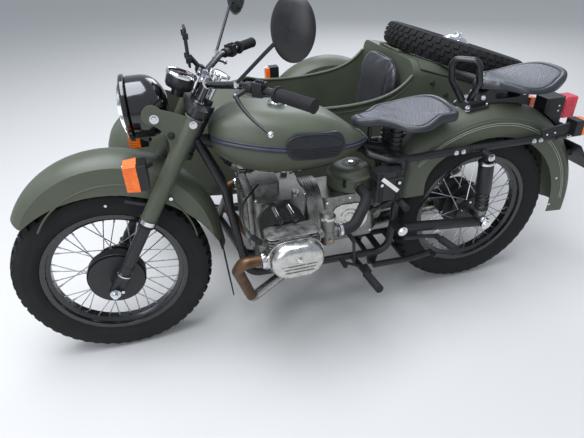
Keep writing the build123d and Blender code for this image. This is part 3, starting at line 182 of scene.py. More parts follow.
# Mould-dull rubber, a little dusty in patches
tyre_rubber = new_material("tyre_rubber", "#1B1B1C", 0.85, (60, ("#161617", "#242423"), (0.75, 0.95)), (3, 0.3),
                           Specular_IOR_Level=0.3)
CARCASS = [(crown(h), h) for h in range(-44, 45, 8)]
FLANK = [(331, 47.5), (322, 51), (312, 52.6), (309, 53.0), (306, 52.6), (296, 52.4), (284, 50.0), (281, 50.2),
         (278, 49.0), (268, 43), (259, 37), (256, 30), (246, 29.6), (245, 20)]
SECTION = CARCASS + FLANK + [(245, 0)] + [(r, -h) for r, h in reversed(FLANK)]
# Each row of blocks: near and far edge from the middle, length round the tyre, and share of a pitch it is moved by
TREAD = ((3, 20, 0.66, 0.0), (-20, -3, 0.66, 0.5), (24, 47, 0.52, 0.3), (-47, -24, 0.52, 0.8))


def tyre(name, place, body, node):
    """One cover with its tread, standing where its CAD node does."""
    mesh = bmesh.new()
    turn(mesh, SECTION, place, steps=120, closed=True)
    for near, far, length, moved in TREAD:
        spans = 2 if abs(near + far) > 40 else 1
        for pitch in range(PITCHES):
            middle_angle = 2 * math.pi * (pitch + moved) / PITCHES
            half_angle = math.pi * length / PITCHES
            grid = []
            for step in range(spans + 1):
                h = near + (far - near) * step / spans
                inset = 1.5 if step == 0 else -1.5 if step == spans else 0.0
                row = []
                for lift, shrink in ((-3.0, 1.0), (TREAD_DEPTH, 0.86)):
                    r = (crown(h) + lift) / 1000
                    height = (h + (inset if lift > 0 else 0.0)) / 1000
                    for end in (-1, 1):
                        a = middle_angle + end * half_angle * shrink
                        row.append(mesh.verts.new(place @ Vector((r * math.cos(a), r * math.sin(a), height))))
                grid.append(row)
            for here, then in zip(grid, grid[1:]):
                for i, j in ((0, 2), (2, 3), (3, 1)):
                    mesh.faces.new((here[i], here[j], then[j], then[i]))
            for row, order in ((grid[0], (0, 1, 3, 2)), (grid[-1], (0, 2, 3, 1))):
                mesh.faces.new([row[i] for i in order])
    piece(name, mesh, [tyre_rubber], body, [node], crease=40)


# Wheels. Each is a rolled steel rim in gloss black, laced with plated steel spokes to a cast hub whose brake drum
# is ribbed round its rim. The same wheel fits all three axles and the spare carrier.
SPOKES, SPOKE_R, NIPPLE_R = 36, 2.0, 3.2
DRUM_R, DRUM_FROM, DRUM_TO = 103.0, 10.0, 52.0
WELL_R = 223.0
HUB_BOLTS = 8


def within(place, x, y, z):
    """A point in mm along a place's own axes, in the frame's metres."""
    return place @ (Vector((x, y, z)) / 1000)


def sweep(mesh, points, radius, sides=10, slot=0, end_radius=None, looped=False):
    """Adds a round bar through points in metres, its radius in mm, the same or tapering to end_radius."""
    points = [Vector(p) for p in points]
    count = len(points)
    tangents = []
    for i in range(count):
        if looped:
            tangents.append((points[(i + 1) % count] - points[i - 1]).normalized())
        else:
            tangents.append((points[min(i + 1, count - 1)] - points[max(i - 1, 0)]).normalized())
    side = tangents[0].orthogonal().normalized()
    rings = []
    for i, (point, tangent) in enumerate(zip(points, tangents)):
        side = (side - tangent * side.dot(tangent)).normalized()
        across = tangent.cross(side)
        r = (radius + ((end_radius or radius) - radius) * i / (count - 1)) / 1000
        rings.append([mesh.verts.new(point + r * (side * c + across * s)) for c, s in circle(sides)])
    for i in range(count if looped else count - 1):
        ring, after = rings[i], rings[(i + 1) % count]
        shift = 0
        if looped and i == count - 1:
            shift = min(range(sides), key=lambda s: (after[s].co - ring[0].co).length)
        for k in range(sides):
            face = mesh.faces.new((ring[k], ring[(k + 1) % sides], after[(k + 1 + shift) % sides],
                                   after[(k + shift) % sides]))
            face.material_index = slot
            face.smooth = True
    if not looped:
        for ring, order in ((rings[0], -1), (rings[-1], 1)):
            mesh.faces.new(ring[::order]).material_index = slot


def stub(mesh, spot, along, start, end, radius, sides=6, slot=0):
    """Adds a straight bar from start to end, in mm along a direction from a spot; with six sides it is a bolt's."""
    sweep(mesh, [spot + along * (start / 1000), spot + along * (end / 1000)], radius, sides, slot)


# Stoved gloss enamel, dull zinc, brushed enamel over the drum's casting, and bright decorative chrome
rim_enamel = new_material("rim_enamel_black", "#0D0D0E", 0.2, (40, ("#0B0B0C", "#151516"), (0.16, 0.34)),
                          Coat_Weight=0.6, Coat_Roughness=0.08)
spoke_plate = new_material("spoke_zinc_plate", "#B9BBBD", 0.28, (12, ("#A9ABAD", "#C6C8CA"), (0.22, 0.4)),
                           Metallic=1.0)
drum_iron = new_material("drum_black_enamel", "#161617", 0.42, (18, ("#121213", "#1E1E1F"), (0.34, 0.55)), (2.5, 0.25))
bolt_chrome = new_material("bright_chrome", "#D9DADD", 0.1, (25, ("#CFD1D4", "#E2E3E5"), (0.06, 0.16)), Metallic=1.0)
# The rolled rim: its outside from one lip over the well to the other, then its inside back
RIM_OUTSIDE = [(256, 36), (257.5, 34.5), (256.5, 31.5), (252, 31), (244, 30), (243, 19), (234, 16), (228, 12)]
RIM_INSIDE = [(248, 36), (240.5, 34.5), (239, 30), (238, 21), (230, 17.5), (WELL_R, 13)]
RIM = ([(r, -h) for r, h in RIM_OUTSIDE] + RIM_OUTSIDE[::-1] + RIM_INSIDE
       + [(r, -h) for r, h in reversed(RIM_INSIDE)])
RIBS = [(DRUM_R - low, 14 + 7 * rib + h) for rib in range(5) for low, h in ((5, 0), (0, 1), (0, 4), (5, 5))]
HUB = ([(12, 51), (70, 51), (84, 50), (DRUM_R - 6, 48), (DRUM_R - 2, DRUM_TO), (DRUM_R, DRUM_TO - 2)]
       + RIBS[::-1] + [(DRUM_R - 7, DRUM_FROM), (60, 8), (50, 0), (42, -12), (42, -36), (52, -42), (75, -44),
                       (76, -46), (76, -51), (74, -52), (46, -52), (40, -50), (12, -50)])


def wheel(name, place, body, node):
    """One laced wheel: rim, spokes with their nipples, hub and drum."""
    mesh = bmesh.new()
    turn(mesh, RIM, place, steps=96, slot=0, closed=True)
    turn(mesh, HUB, place, steps=64, slot=2, closed=True)
    for spoke in range(SPOKES):
        on_drum = spoke % 2 == 0
        lean = 1 if spoke % 4 < 2 else -1
        rim_angle = 2 * math.pi * spoke / SPOKES
        hub_angle = rim_angle + math.radians(lean * (14.0 if on_drum else 34.0))
        hub_r, hub_h = (DRUM_R - 8, DRUM_TO - 36) if on_drum else (70, -48)
        start = within(place, hub_r * math.cos(hub_angle), hub_r * math.sin(hub_angle), hub_h)
        end = within(place, WELL_R * math.cos(rim_angle), WELL_R * math.sin(rim_angle), 5 if on_drum else -5)
        sweep(mesh, [start, end], SPOKE_R, sides=6, slot=1)
        sweep(mesh, [end.lerp(start, 0.11), end], NIPPLE_R, sides=6, slot=1)
    for bolt in range(HUB_BOLTS):
        angle = 2 * math.pi * (bolt + 0.5) / HUB_BOLTS
        for r, h, size in ((60, -52, 5.5), (80, 51, 5.0)):
            away = place.to_3x3() @ Vector((0, 0, math.copysign(1, h)))
            stub(mesh, within(place, r * math.cos(angle), r * math.sin(angle), h), away, 0, 4, size, slot=3)
    piece(name, mesh, [rim_enamel, spoke_plate, drum_iron, bolt_chrome], body, [node])


def middle(node):
    """The centre of a CAD node's box, in metres."""
    low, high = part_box(node)
    return (Vector(low) + Vector(high)) / 2


SPARE_TILT = math.radians(18.0)
spare_up = Vector((0, math.sin(SPARE_TILT), math.cos(SPARE_TILT)))
# Each wheel: its name, the body it turns with, and the way its drum faces
for name, body, drum_way, across in (("front", "front_wheel", (1, 0, 0), (0, 1, 0)),
                                     ("rear", "rear_wheel", (-1, 0, 0), (0, 1, 0)),
                                     ("sidecar", "sidecar_wheel", (1, 0, 0), (0, 1, 0)),
                                     ("spare", "boot_lid", -spare_up, (1, 0, 0))):
    place = facing(middle(name + "_tyre"), drum_way, across)
    tyre(name + "_tyre_cover", place, body, name + "_tyre")
    wheel(name + "_laced_wheel", place, body, name + "_wheel")


# Fork: a cast and tubular assembly in satin black enamel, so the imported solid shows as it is. Its places are found
# along its own rake, ahead of the leg line and up along it from the axle. The collars, seals and nuts are added.
RAKE = math.radians(31.0)
LEG_X, LEG_LEAD = 105.0, 8.0
AXLE = Vector((0, -735, 350))
fork_up = Vector((0, math.sin(RAKE), math.cos(RAKE)))
fork_ahead = Vector((0, -math.cos(RAKE), math.sin(RAKE)))
datum = (middle("front_tyre") + middle("rear_tyre")) / 2
datum.z = 0.0


def at(x, y, z):
    """A place on the machine in the frame's metres, from mm to the rider's left, to the tail and up, with the floor
    under the middle of the wheelbase as their start."""
    return datum + Vector((x, y, z)) / 1000


def on_fork(x, ahead, along):
    """A place on the fork, in mm across, ahead of the leg line and up along it from the axle."""
    return at(*(AXLE + Vector((x, 0, 0)) + fork_ahead * ahead + fork_up * along))


def finish(node, *materials):
    """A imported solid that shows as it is, in these materials."""
    data = nodes[node].data
    data.materials.clear()
    for material in materials:
        data.materials.append(material)


# Half-matt enamel over steel, and rubber from the mould
satin_enamel = new_material("satin_black_enamel", "#161618", 0.4, (35, ("#131315", "#1F1F21"), (0.34, 0.52)),
                            (1.6, 0.06), Specular_IOR_Level=0.5)
control_rubber = new_material("moulded_rubber", "#18181A", 0.7, (20, ("#141415", "#222224"), (0.6, 0.8)),
                              (1.5, 0.12), Specular_IOR_Level=0.35)
finish("fork", satin_enamel)
finish("mud_flap", control_rubber)
mesh = bmesh.new()
for side in (1, -1):
    # Low and high end up the leg, radius, sides and slot of each collar
    for low, high, radius, sides, slot in ((286, 301, 29.5, 40, 1), (272, 286, 26.5, 40, 2), (62, 66, 27.0, 40, 1),
                                           (96, 101, 22.4, 32, 0), (268, 273, 22.4, 32, 0)):
        ends = [on_fork(side * LEG_X, -LEG_LEAD, along) for along in (low, high)]
        sweep(mesh, ends, radius, sides, slot)
    out = Vector((side, 0, 0))
    foot = on_fork(side * (LEG_X + 38), 0, 0)
    for start, end, radius, sides in ((0, 10, 15.0, 6), (10, 20, 10.0, 20), (3, 5, 18.0, 24)):
        stub(mesh, foot, out, start, end, radius, sides, slot=1)
    stub(mesh, on_fork(side * (LEG_X + 22), -24, 6), out, 0, 8, 6.5, slot=1)
piece("fork_collars", mesh, [satin_enamel, bolt_chrome, control_rubber], "steering")

# Fork sleeves with the headlamp ears: pressed sheet steel in the machine's matte olive, fixed by a chromed bolt
# each side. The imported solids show; the bolts, the rubber cap and the rolled edges are added.
EAR_X = LEG_X + 14
olive_enamel = new_material("matte_olive_enamel", "#4A4F40", 0.46, (160, ("#464B3C", "#4F5445"), (0.38, 0.52)),
                            (2.0, 0.05), Specular_IOR_Level=0.5)
finish("fork_shrouds", olive_enamel)
mesh = bmesh.new()
for side in (1, -1):
    out = Vector((side, 0, 0))
    lamp_bolt, yoke_bolt = on_fork(side * EAR_X, 100, 634), on_fork(side * (LEG_X + 27), -LEG_LEAD, 668)
    for bolt, start, end, radius, sides in ((lamp_bolt, 0, 2, 14, 32), (lamp_bolt, 2, 10, 9.5, 6),
                                            (yoke_bolt, 0, 3, 12, 28), (yoke_bolt, 3, 9, 7.5, 6)):
        stub(mesh, bolt, out, start, end, radius, sides)
    turn(mesh, [(0.01, 9), (6, 8.4), (10, 5.5), (11.5, 0), (0.01, 0)], facing(on_fork(side * EAR_X, 36, 606), out),
         steps=28, slot=1)
    for along in (303, 683):
        hoop = [on_fork(side * LEG_X + 28 * c, 28 * s - LEG_LEAD, along) for c, s in circle(36)]
        sweep(mesh, hoop, 2.2, sides=8, slot=2, looped=True)
piece("fork_sleeve_fittings", mesh, [bolt_chrome, control_rubber, olive_enamel], "steering")

# Headlamp: a spun steel bowl and rim in gloss black over a silvered reflector, hung by a bolt in each ear of the
# sleeves. Its glass is pressed, bulged and fluted.
LAMP_Y, LAMP_Z = -573.0, 950.0
RIM_SECTION = [(96, -10), (103, -6), (103.5, 2), (101, 6), (96, 8), (90.5, 6), (90.5, 0), (90, -10)]
BOWL = [(90, -8), (97, -14), (97, -56)] + [
    (97 * math.cos(math.radians(turned)), -56 - 74 * math.sin(math.radians(turned)))
    for turned in (12, 25, 38, 51, 64, 77, 88)] + [(0.05, -130)]
REFLECTOR = [(0.05, -72), (22, -70), (44, -60), (62, -46), (78, -26), (90, -2)]
BULB = [(0.05, -34), (6, -36), (9, -44), (9, -70), (0.05, -70)]
GLASS = [(max(90 * math.sin(math.radians(turned)), 0.05), 26 * math.cos(math.radians(turned)))
         for turned in range(90, -1, -9)]
# A wave texture of scale 1 has bands this many mm wide, so a scale is this over the real pitch
WAVE_MM = 314.16
FLUTE_MM = 15.708


def ridges(material, axis, pitch_mm, depth_mm, strength):
    """Moulded ridges of that pitch across a lens, as a bump."""
    tree = material.node_tree
    place = tree.nodes["Texture Coordinate"].outputs["Object"]
    wave = add_node(tree, "TexWave", {"bands_direction": axis}, {"Vector": place, "Scale": WAVE_MM / pitch_mm})
    emboss(material, wave.outputs["Fac"], depth_mm, strength)


gloss_enamel = new_material("gloss_black_enamel", "#0B0B0C", 0.12, (50, ("#09090A", "#121213"), (0.1, 0.22)),
                            Coat_Weight=0.8, Coat_Roughness=0.05)
reflector_silver = new_material("silvered_reflector", "#E8E8EA", 0.08, (60, ("#DEDEE0", "#F0F0F2"), (0.04, 0.12)),
                                Metallic=1.0)
lamp_glass = new_material("fluted_lamp_glass", "#F3F7F8", 0.02, Transmission_Weight=1.0, IOR=1.2)
ridges(lamp_glass, "X", FLUTE_MM, 2.0, 0.6)
lamp_place = facing(at(0, LAMP_Y, LAMP_Z), (0, -1, 0))
mesh = bmesh.new()
turn(mesh, RIM_SECTION, lamp_place, steps=96, closed=True)
for profile, steps, slot in ((BOWL, 96, 0), (REFLECTOR, 72, 1), (BULB, 24, 1)):
    turn(mesh, profile, lamp_place, steps, slot)
piece("headlamp_bowl", mesh, [gloss_enamel, reflector_silver], "steering", ["headlamp_shell"])
mesh = bmesh.new()
turn(mesh, GLASS, lamp_place, steps=96)
piece("headlamp_lens", mesh, [lamp_glass], "steering", ["headlamp_glass"])

# Front signals: orange lenses moulded with prisms, screwed to black plastic bodies that stand on short stalks, one
# each side of the fork.
PRISM_MM = 8.26737


def block(mesh, low, high, place, slot=0, draft=0.0):
    """Adds a block between two corners in mm, in the place's own axes; draft draws its top in on all sides."""
    (x0, y0, z0), (x1, y1, z1) = low, high
    verts = [mesh.verts.new(within(place, x, y, z)) for x, y, z in (
        (x0, y0, z0), (x1, y0, z0), (x1, y1, z0), (x0, y1, z0),
        (x0 + draft, y0 + draft, z1), (x1 - draft, y0 + draft, z1), (x1 - draft, y1 - draft, z1),
        (x0 + draft, y1 - draft, z1))]
    for order in ((3, 2, 1, 0), (4, 5, 6, 7), (0, 1, 5, 4), (1, 2, 6, 5), (2, 3, 7, 6), (3, 0, 4, 7)):
        mesh.faces.new([verts[i] for i in order]).material_index = slot


# Clear, saturated acrylic with prisms inside, and fine-grained plastic
moulded_black = new_material("moulded_black_plastic", "#121214", 0.38, (30, ("#101012", "#19191B"), (0.32, 0.48)),
                             (0.8, 0.05))
amber_lens = new_material("orange_moulded_lens", "#F0680F", 0.18, (30, ("#E65E0C", "#F77A1C"), (0.12, 0.22)),
                          Subsurface_Weight=0.25, Coat_Weight=0.5, Subsurface_Radius=(0.02, 0.006, 0.002))
ridges(amber_lens, "Z", PRISM_MM, 1.2, 0.7)
mesh = bmesh.new()
for side in (1, -1):
    lamp = facing(at(side * 172, -573, 800), (0, -1, 0))
    block(mesh, (-42, -34, -6), (42, 34, 33), lamp, slot=0, draft=3)
    block(mesh, (-40, -33, -33), (40, 33, -6), lamp, slot=1)
    for up in (-32, 32):
        stub(mesh, within(lamp, up, 0, 33), Vector((0, -1, 0)), 0, 3, 3.5, sides=12, slot=2)
    sweep(mesh, [at(side * 138, -560, 800), at(side * 104, -530, 800)], 8, sides=16, slot=1)
piece("front_signal_lamps", mesh, [amber_lens, moulded_black, bolt_chrome], "steering", ["front_signals"],
      bevel=3.0)

# Front mudguard: one deep-drawn steel pressing in the machine's olive, with a rolled bead over its skirts, held to
# the fork by bolted stays of round bar.
FRONT_ARCH = (-693, 465)
BEAD_R = 268.0
GUARD_HALF = 74.0


def arch_run(x, centre, radius, degrees):
    """The points of an arch at those angles, its centre given as (y, z), all in mm on the machine."""
    angles = [math.radians(angle) for angle in degrees]
    return [at(x, centre[0] + radius * math.cos(a), centre[1] + radius * math.sin(a)) for a in angles]


def bends(points, radius, steps=6):
    """The points of a path whose corners are rounded to that radius in mm."""
    points = [Vector(p) for p in points]
    path = [points[0]]
    for before, corner, after in zip(points, points[1:], points[2:]):
        back, forward = before - corner, after - corner
        reach = min(radius / 1000, back.length * 0.48, forward.length * 0.48)
        start, end = corner + back.normalized() * reach, corner + forward.normalized() * reach
        for step in range(steps + 1):
            t = step / steps
            path.append(start * (1 - t) ** 2 + corner * 2 * t * (1 - t) + end * t ** 2)
    return path + [points[-1]]


finish("front_fender", olive_enamel)
mesh = bmesh.new()
for side in (1, -1):
    sweep(mesh, arch_run(side * GUARD_HALF, FRONT_ARCH, BEAD_R, range(150, 4, -5)), 3.2, sides=8)
    for y, z, radius in ((-492, 653, 7), (-560, 640, 6), (-700, 664, 5)):
        stub(mesh, at(side * GUARD_HALF, y, z), Vector((side, 0, 0)), 0, 8, radius, slot=1)
    sweep(mesh, bends([at(side * (GUARD_HALF + 3), -640, 668), at(side * 82, -560, 640),
                       on_fork(side * (LEG_X - 20), -LEG_LEAD, 250)], 20), 5.5, sides=10, slot=2)
piece("front_fender_bead_and_stays", mesh, [olive_enamel, bolt_chrome, satin_enamel], "steering")

# Speedometer: a black pressed case on the top yoke, with a chromed bezel crimped over its domed glass and a printed
# dial that has scale marks only.
DIAL_TILT = math.radians(22.0)
DIAL_SWEEP, DIAL_ZERO, MARKS = 270, 225, 40
CASE = [(0.05, -22), (20, -22), (20, 0), (40, 2), (44, 10), (45, 40), (43, 44), (42, 38), (0.05, 38)]
BEZEL = [(44, 38), (48, 40), (49, 46), (46, 51), (42, 50), (42, 44)]
dial_white = new_material("printed_dial_white", "#E6E4DC", 0.5, (20, ("#DFDDD5", "#ECEAE3"), (0.45, 0.6)))
dial_black = new_material("printed_dial_black", "#101011", 0.55, (20, ("#0E0E0F", "#161617"), (0.5, 0.6)))
needle_red = new_material("needle_orange_paint", "#D9481F", 0.45, (10, ("#CF431C", "#E04F25"), (0.4, 0.5)))
window_glass = new_material("clear_cover_glass", "#F4F7F8", 0.01, grains=(40, 0.02), Transmission_Weight=1.0, IOR=1.3)
dial_place = facing(at(0, -408, 996), (0, math.sin(DIAL_TILT), math.cos(DIAL_TILT)))
mesh = bmesh.new()
turn(mesh, CASE, dial_place, steps=64, slot=0)
turn(mesh, BEZEL, dial_place, steps=64, slot=1, closed=True)
turn(mesh, [(0.05, 39.4), (39, 39.4), (39, 39.0)], dial_place, steps=48, slot=3)
for mark in range(MARKS + 1):
    spoke = dial_place @ Matrix.Rotation(math.radians(DIAL_ZERO - DIAL_SWEEP * mark / MARKS), 4, "Z")
    block(mesh, (34 if mark % 4 else 31, -0.7, 39.5), (38, 0.7, 40.0), spoke, slot=2)
block(mesh, (-8, -0.9, 40.6), (30, 0.9, 41.6), dial_place @ Matrix.Rotation(math.radians(215), 4, "Z"), slot=4)
turn(mesh, [(0.05, 43), (5, 42.5), (5, 40)], dial_place, steps=20, slot=0)
piece("speedometer_case", mesh, [moulded_black, bolt_chrome, dial_white, dial_black, needle_red], "steering",
      ["speedometer"])
mesh = bmesh.new()
turn(mesh, [(42, 44), (30, 47.5), (14, 49.4), (0.05, 50)], dial_place, steps=48)
piece("speedometer_glass", mesh, [window_glass], "steering", ())

# Handlebar: one bent steel tube in gloss black held by chromed clamps, with moulded rubber grips on its ends,
# forged ball-ended levers on cast perches and a chromed steering damper knob over the stem.
BAR_RUN = ((70, -318, 1015), (196, -246, 1041), (272, -186, 1040), (412, -92, 1030))
CLAMP_X, CLAMP_LEAD = 42, -14
GRIP_LENGTH = 132


def on_bar(side, run, share):
    """A place on one of the bar's straight runs, from its inner end 0 to its outer end 1."""
    x, y, z = Vector(BAR_RUN[run]).lerp(Vector(BAR_RUN[run + 1]), share)
    return at(side * x, y, z)


finish("handlebar", gloss_enamel)
mesh = bmesh.new()
for side in (1, -1):
    clamp = on_fork(side * CLAMP_X, CLAMP_LEAD, 786)
    stub(mesh, clamp, Vector((1, 0, 0)), -14, 14, 17, sides=32)
    for lean in (-22, 22):
        stub(mesh, clamp + fork_up * 0.010 + fork_ahead * lean / 1000, fork_up, -20, 6, 5)
    stub(mesh, on_fork(side * CLAMP_X, CLAMP_LEAD, 716), fork_up, 0, 6, 18, sides=32)
knob = facing(on_fork(0, -48, 810), fork_up)
turn(mesh, [(0.05, 16), (20, 16), (24, 14), (31, 12)] + [(31 + (1.2 if k % 2 else 0), 11 - k) for k in range(6)]
     + [(28, 2), (10, -2), (10, -80), (0.05, -80)], knob, steps=60)
for c, s in circle(8):
    stub(mesh, within(knob, 29 * c, 29 * s, 3), fork_up, 0, 10, 5.5, sides=12)
piece("bar_clamps_and_damper_knob", mesh, [bolt_chrome], "steering", ["damper_knob"])

mesh = bmesh.new()
GRIP = ([(11.3, 0), (22, 0), (23, 3), (22, 7), (17, 10)]
        + [(17.3 + (0.9 if rib % 2 else -0.5), 14 + 3.2 * rib) for rib in range(36)]
        + [(19, 128), (19.5, 131), (15, 132.5), (0.05, 133)])
for side in (1, -1):
    outer = on_bar(side, 2, 1.0)
    run = (outer - on_bar(side, 2, 0.0)).normalized()
    turn(mesh, GRIP, facing(outer + run * (5 - GRIP_LENGTH) / 1000, run), steps=40)
piece("handlebar_grips", mesh, [control_rubber], "steering", ["grips"])

mesh = bmesh.new()
for side in (1, -1):
    start, end = on_bar(side, 1, 0.31), on_bar(side, 1, 0.60)
    sweep(mesh, [start, end], 16, sides=28)
    pivot, ball = at(side * 236, -262, 1022), at(side * 404, -205, 966)
    perch = (start + end) / 2 + Vector((0, -0.014, -0.006))
    sweep(mesh, [perch, pivot + (pivot - perch).normalized() * 0.006], 8, sides=14, end_radius=7)
    stub(mesh, pivot, Vector((0, 0, 1)), -10, 9, 5.5, sides=14, slot=1)
    lift = Vector((0, -0.012, 0.004))
    blade = [pivot, pivot.lerp(ball, 0.3) + lift, pivot.lerp(ball, 0.65) + lift * 1.2, ball]
    sweep(mesh, bends(blade, 60, 5), 6.4, sides=12, end_radius=4.2)
    turn(mesh, [(0.05, -9), (5, -7.5), (8.2, -4), (9, 0), (8.2, 4), (5, 7.5), (0.05, 9)],
         facing(ball, ball - pivot), steps=20, slot=1)
    pod = on_bar(side, 1, 0.82)
    pod_place = facing(pod, on_bar(side, 1, 1.0) - pod)
    block(mesh, (-20, -17, -17), (22, 17, 17), pod_place, slot=2, draft=2)
    for step, up in enumerate((-8, 2, 12)):
        block(mesh, (18, -6 + step, up - 3), (26, 6, up + 3), pod_place, slot=2)
piece("levers_and_switches", mesh, [satin_enamel, bolt_chrome, moulded_black], "steering", ["levers"],
      bevel=1.5)

# Mirrors: oval shells of moulded black plastic with a silvered glass set in a thin rim, each on a bent steel stalk
# that is screwed down with a chromed nut.
MIRROR_LOOK = (0.68, -0.72, 0.10)
MIRROR_HALF, MIRROR_LONG_HALF = 62, 76
mirror_glass = new_material("silvered_mirror_glass", "#F2F3F4", 0.03, (200, ("#ECEEEF", "#F7F8F8"), (0.02, 0.04)),
                            Metallic=1.0)
mesh = bmesh.new()
for side in (1, -1):
    look = Vector((side * MIRROR_LOOK[0], *MIRROR_LOOK[1:])).normalized()
    centre, foot = at(side * 400, -142, 1214), at(side * 214, -253, 1052)
    oval = facing(centre, look) @ Matrix.Diagonal((MIRROR_LONG_HALF / MIRROR_HALF, 1, 1, 1))
    for slot, profile in enumerate((
            [(0.05, 9), (24, 7.5), (44, 3), (57, -3), (MIRROR_HALF, -8), (60.5, -9), (58, -8)],
            [(60.5, -9), (58, -8), (56, -8.4)],
            [(0.05, -7.6), (30, -7.6), (58, -8)])):
        turn(mesh, profile, oval, steps=56, slot=slot)
    sweep(mesh, bends([foot, at(side * 345, -178, 1168), centre + look * 0.006], 40, 6), 5, sides=14)
    stub(mesh, foot, Vector((0, 0, 1)), -12, 4, 8.5, slot=1)
piece("rear_view_mirrors", mesh, [moulded_black, bolt_chrome, mirror_glass], "steering", ["mirrors"])

# Phone holder: a clip of moulded black plastic clamped to the bar by its arm, with a rubber pad on its face and
# gripping jaws at its corners.
cradle = facing(at(-94, -362, 1100), (0, -1, 0))
mesh = bmesh.new()
block(mesh, (-62, -34, -6), (62, 34, 2), cradle, slot=0, draft=2)
for across in (-38, 38):
    for up in (-36, 36):
        block(mesh, (up - 9, across - 3, -10), (up + 9, across + 3, 8), cradle, slot=0)
block(mesh, (-46, -22, 2), (46, 22, 3.4), cradle, slot=1)
sweep(mesh, [at(-94, -356, 1070), at(-90, -330, 1034)], 8, sides=16)
sweep(mesh, [at(-104, -326, 1022), at(-76, -326, 1022)], 18, sides=28)
piece("phone_cradle", mesh, [moulded_black, control_rubber], "steering", ["phone_holder"], bevel=1.5)


# Engine. A flat twin in sand-cast alloy: one casing with its finned generator cover in front and the gearbox
# behind, iron barrels, and a head each side under an oval ribbed cover.
CRANK = Vector((0, -128, 508))
BARREL_FROM, BARREL_TO, HEAD_TO = 114.3, 231.7, 322.0
CASE_X, GEARBOX_X = 108, 86


def rounded(width, height, radius, steps=6):
    """The outline of a rectangle with rounded corners, about its middle, in mm."""
    outline = []
    for corner, (sx, sy) in enumerate(((1, 1), (-1, 1), (-1, -1), (1, -1))):
        for step in range(steps + 1):
            angle = math.pi / 2 * (corner + step / steps)
            outline.append((sx * (width / 2 - radius) + radius * math.cos(angle),
                            sy * (height / 2 - radius) + radius * math.sin(angle)))
    return outline


def skin(mesh, rings, slot=0, ends=(True, True)):
    """Joins rings of equal numbers of points, in metres, into one skin, with its ends closed."""
    made = [[mesh.verts.new(point) for point in ring] for ring in rings]
    for ring, after in zip(made, made[1:]):
        for i in range(len(ring)):
            j = (i + 1) % len(ring)
            face = mesh.faces.new((ring[i], ring[j], after[j], after[i]))
            face.material_index = slot
            face.smooth = True
    for ring, wanted in ((made[0], ends[0]), (made[-1], ends[1])):
        if wanted:
            mesh.faces.new(ring).material_index = slot


def slice_of(outline, place, height, scale=1.0, shift=0.0):
    """An outline as a ring of points in metres, at a height along the place's own Z, shifted along its X."""
    return [within(place, u * scale + shift, v * scale, height) for u, v in outline]


def plate(mesh, outline, place, low, high, slot=0, chamfer=0.8):
    """A flat plate of that outline between two heights, its edges broken by a small chamfer."""
    span = max(abs(u) for u, v in outline)
    drawn = (span - chamfer) / span
    layers = ((low, drawn), (low + chamfer, 1.0), (high - chamfer, 1.0), (high, drawn))
    skin(mesh, [slice_of(outline, place, height, scale) for height, scale in layers], slot)


# Blasted castings, dull in patches; polished ones; and heat-dulled paint on iron
cast_alloy = new_material("sand_cast_alloy", "#8F8E8A", 0.46, (26, ("#6F6E6A", "#9E9D99"), (0.4, 0.6)), (1.4, 0.14),
                          Metallic=1.0)
polished_alloy = new_material("polished_cast_alloy", "#C6C5C1", 0.24, (22, ("#B4B3AE", "#D2D1CD"), (0.18, 0.34)),
                              (1.2, 0.06), Metallic=1.0)
barrel_iron = new_material("painted_barrel_iron", "#3A3A39", 0.55, (12, ("#2F2F2E", "#484745"), (0.45, 0.68)),
                           (1.5, 0.15), Metallic=0.7)
finish("engine_case", cast_alloy)
mesh = bmesh.new()
for x in range(-80, 81, 20):
    block(mesh, (x - 3, -252, 440), (x + 3, -238, 614), Matrix.Translation(datum), slot=0, draft=1)
turn(mesh, [(0.05, 8), (30, 8), (34, 5), (36, 0), (36, -6)], facing(at(0, -240, 520), (0, -1, 0)), steps=40, slot=1)
for x, y in ((-92, -206), (92, -206), (-92, -30), (92, -30)):
    stub(mesh, at(x, y, 596), Vector((0, 0, 1)), 0, 7, 6, slot=2)
for side in (1, -1):
    out = Vector((side, 0, 0))
    for y in range(-200, -30, 28):
        stub(mesh, at(side * CASE_X, y, 345), out, 0, 5, 5, slot=2)
    for y, z in ((60, 540), (240, 540), (60, 386), (240, 386), (150, 548)):
        stub(mesh, at(side * GEARBOX_X, y, z), out, 0, 5, 5.5, slot=2)
    cover = facing(at(side * GEARBOX_X, 150, 462), out)
    plate(mesh, rounded(120, 150, 50), cover, 0, 6, slot=1)
    for radius in (18, 34):
        turn(mesh, [(radius, 6), (radius + 3, 8), (radius + 6, 6)], cover, steps=40, slot=1)
    stub(mesh, at(side * 84, -60, 596), Vector((0, 0, 1)), 0, 16, 14, sides=8, slot=1)
for y in range(-18, 23, 10):
    hoop = [at(125.5 * c, y, 478 + 125.5 * s) for c, s in circle(64)]
    sweep(mesh, hoop, 1.6, sides=6, slot=0, looped=True)
piece("engine_covers_and_bolts", mesh, [cast_alloy, polished_alloy, bolt_chrome], "machine", bevel=0.6)

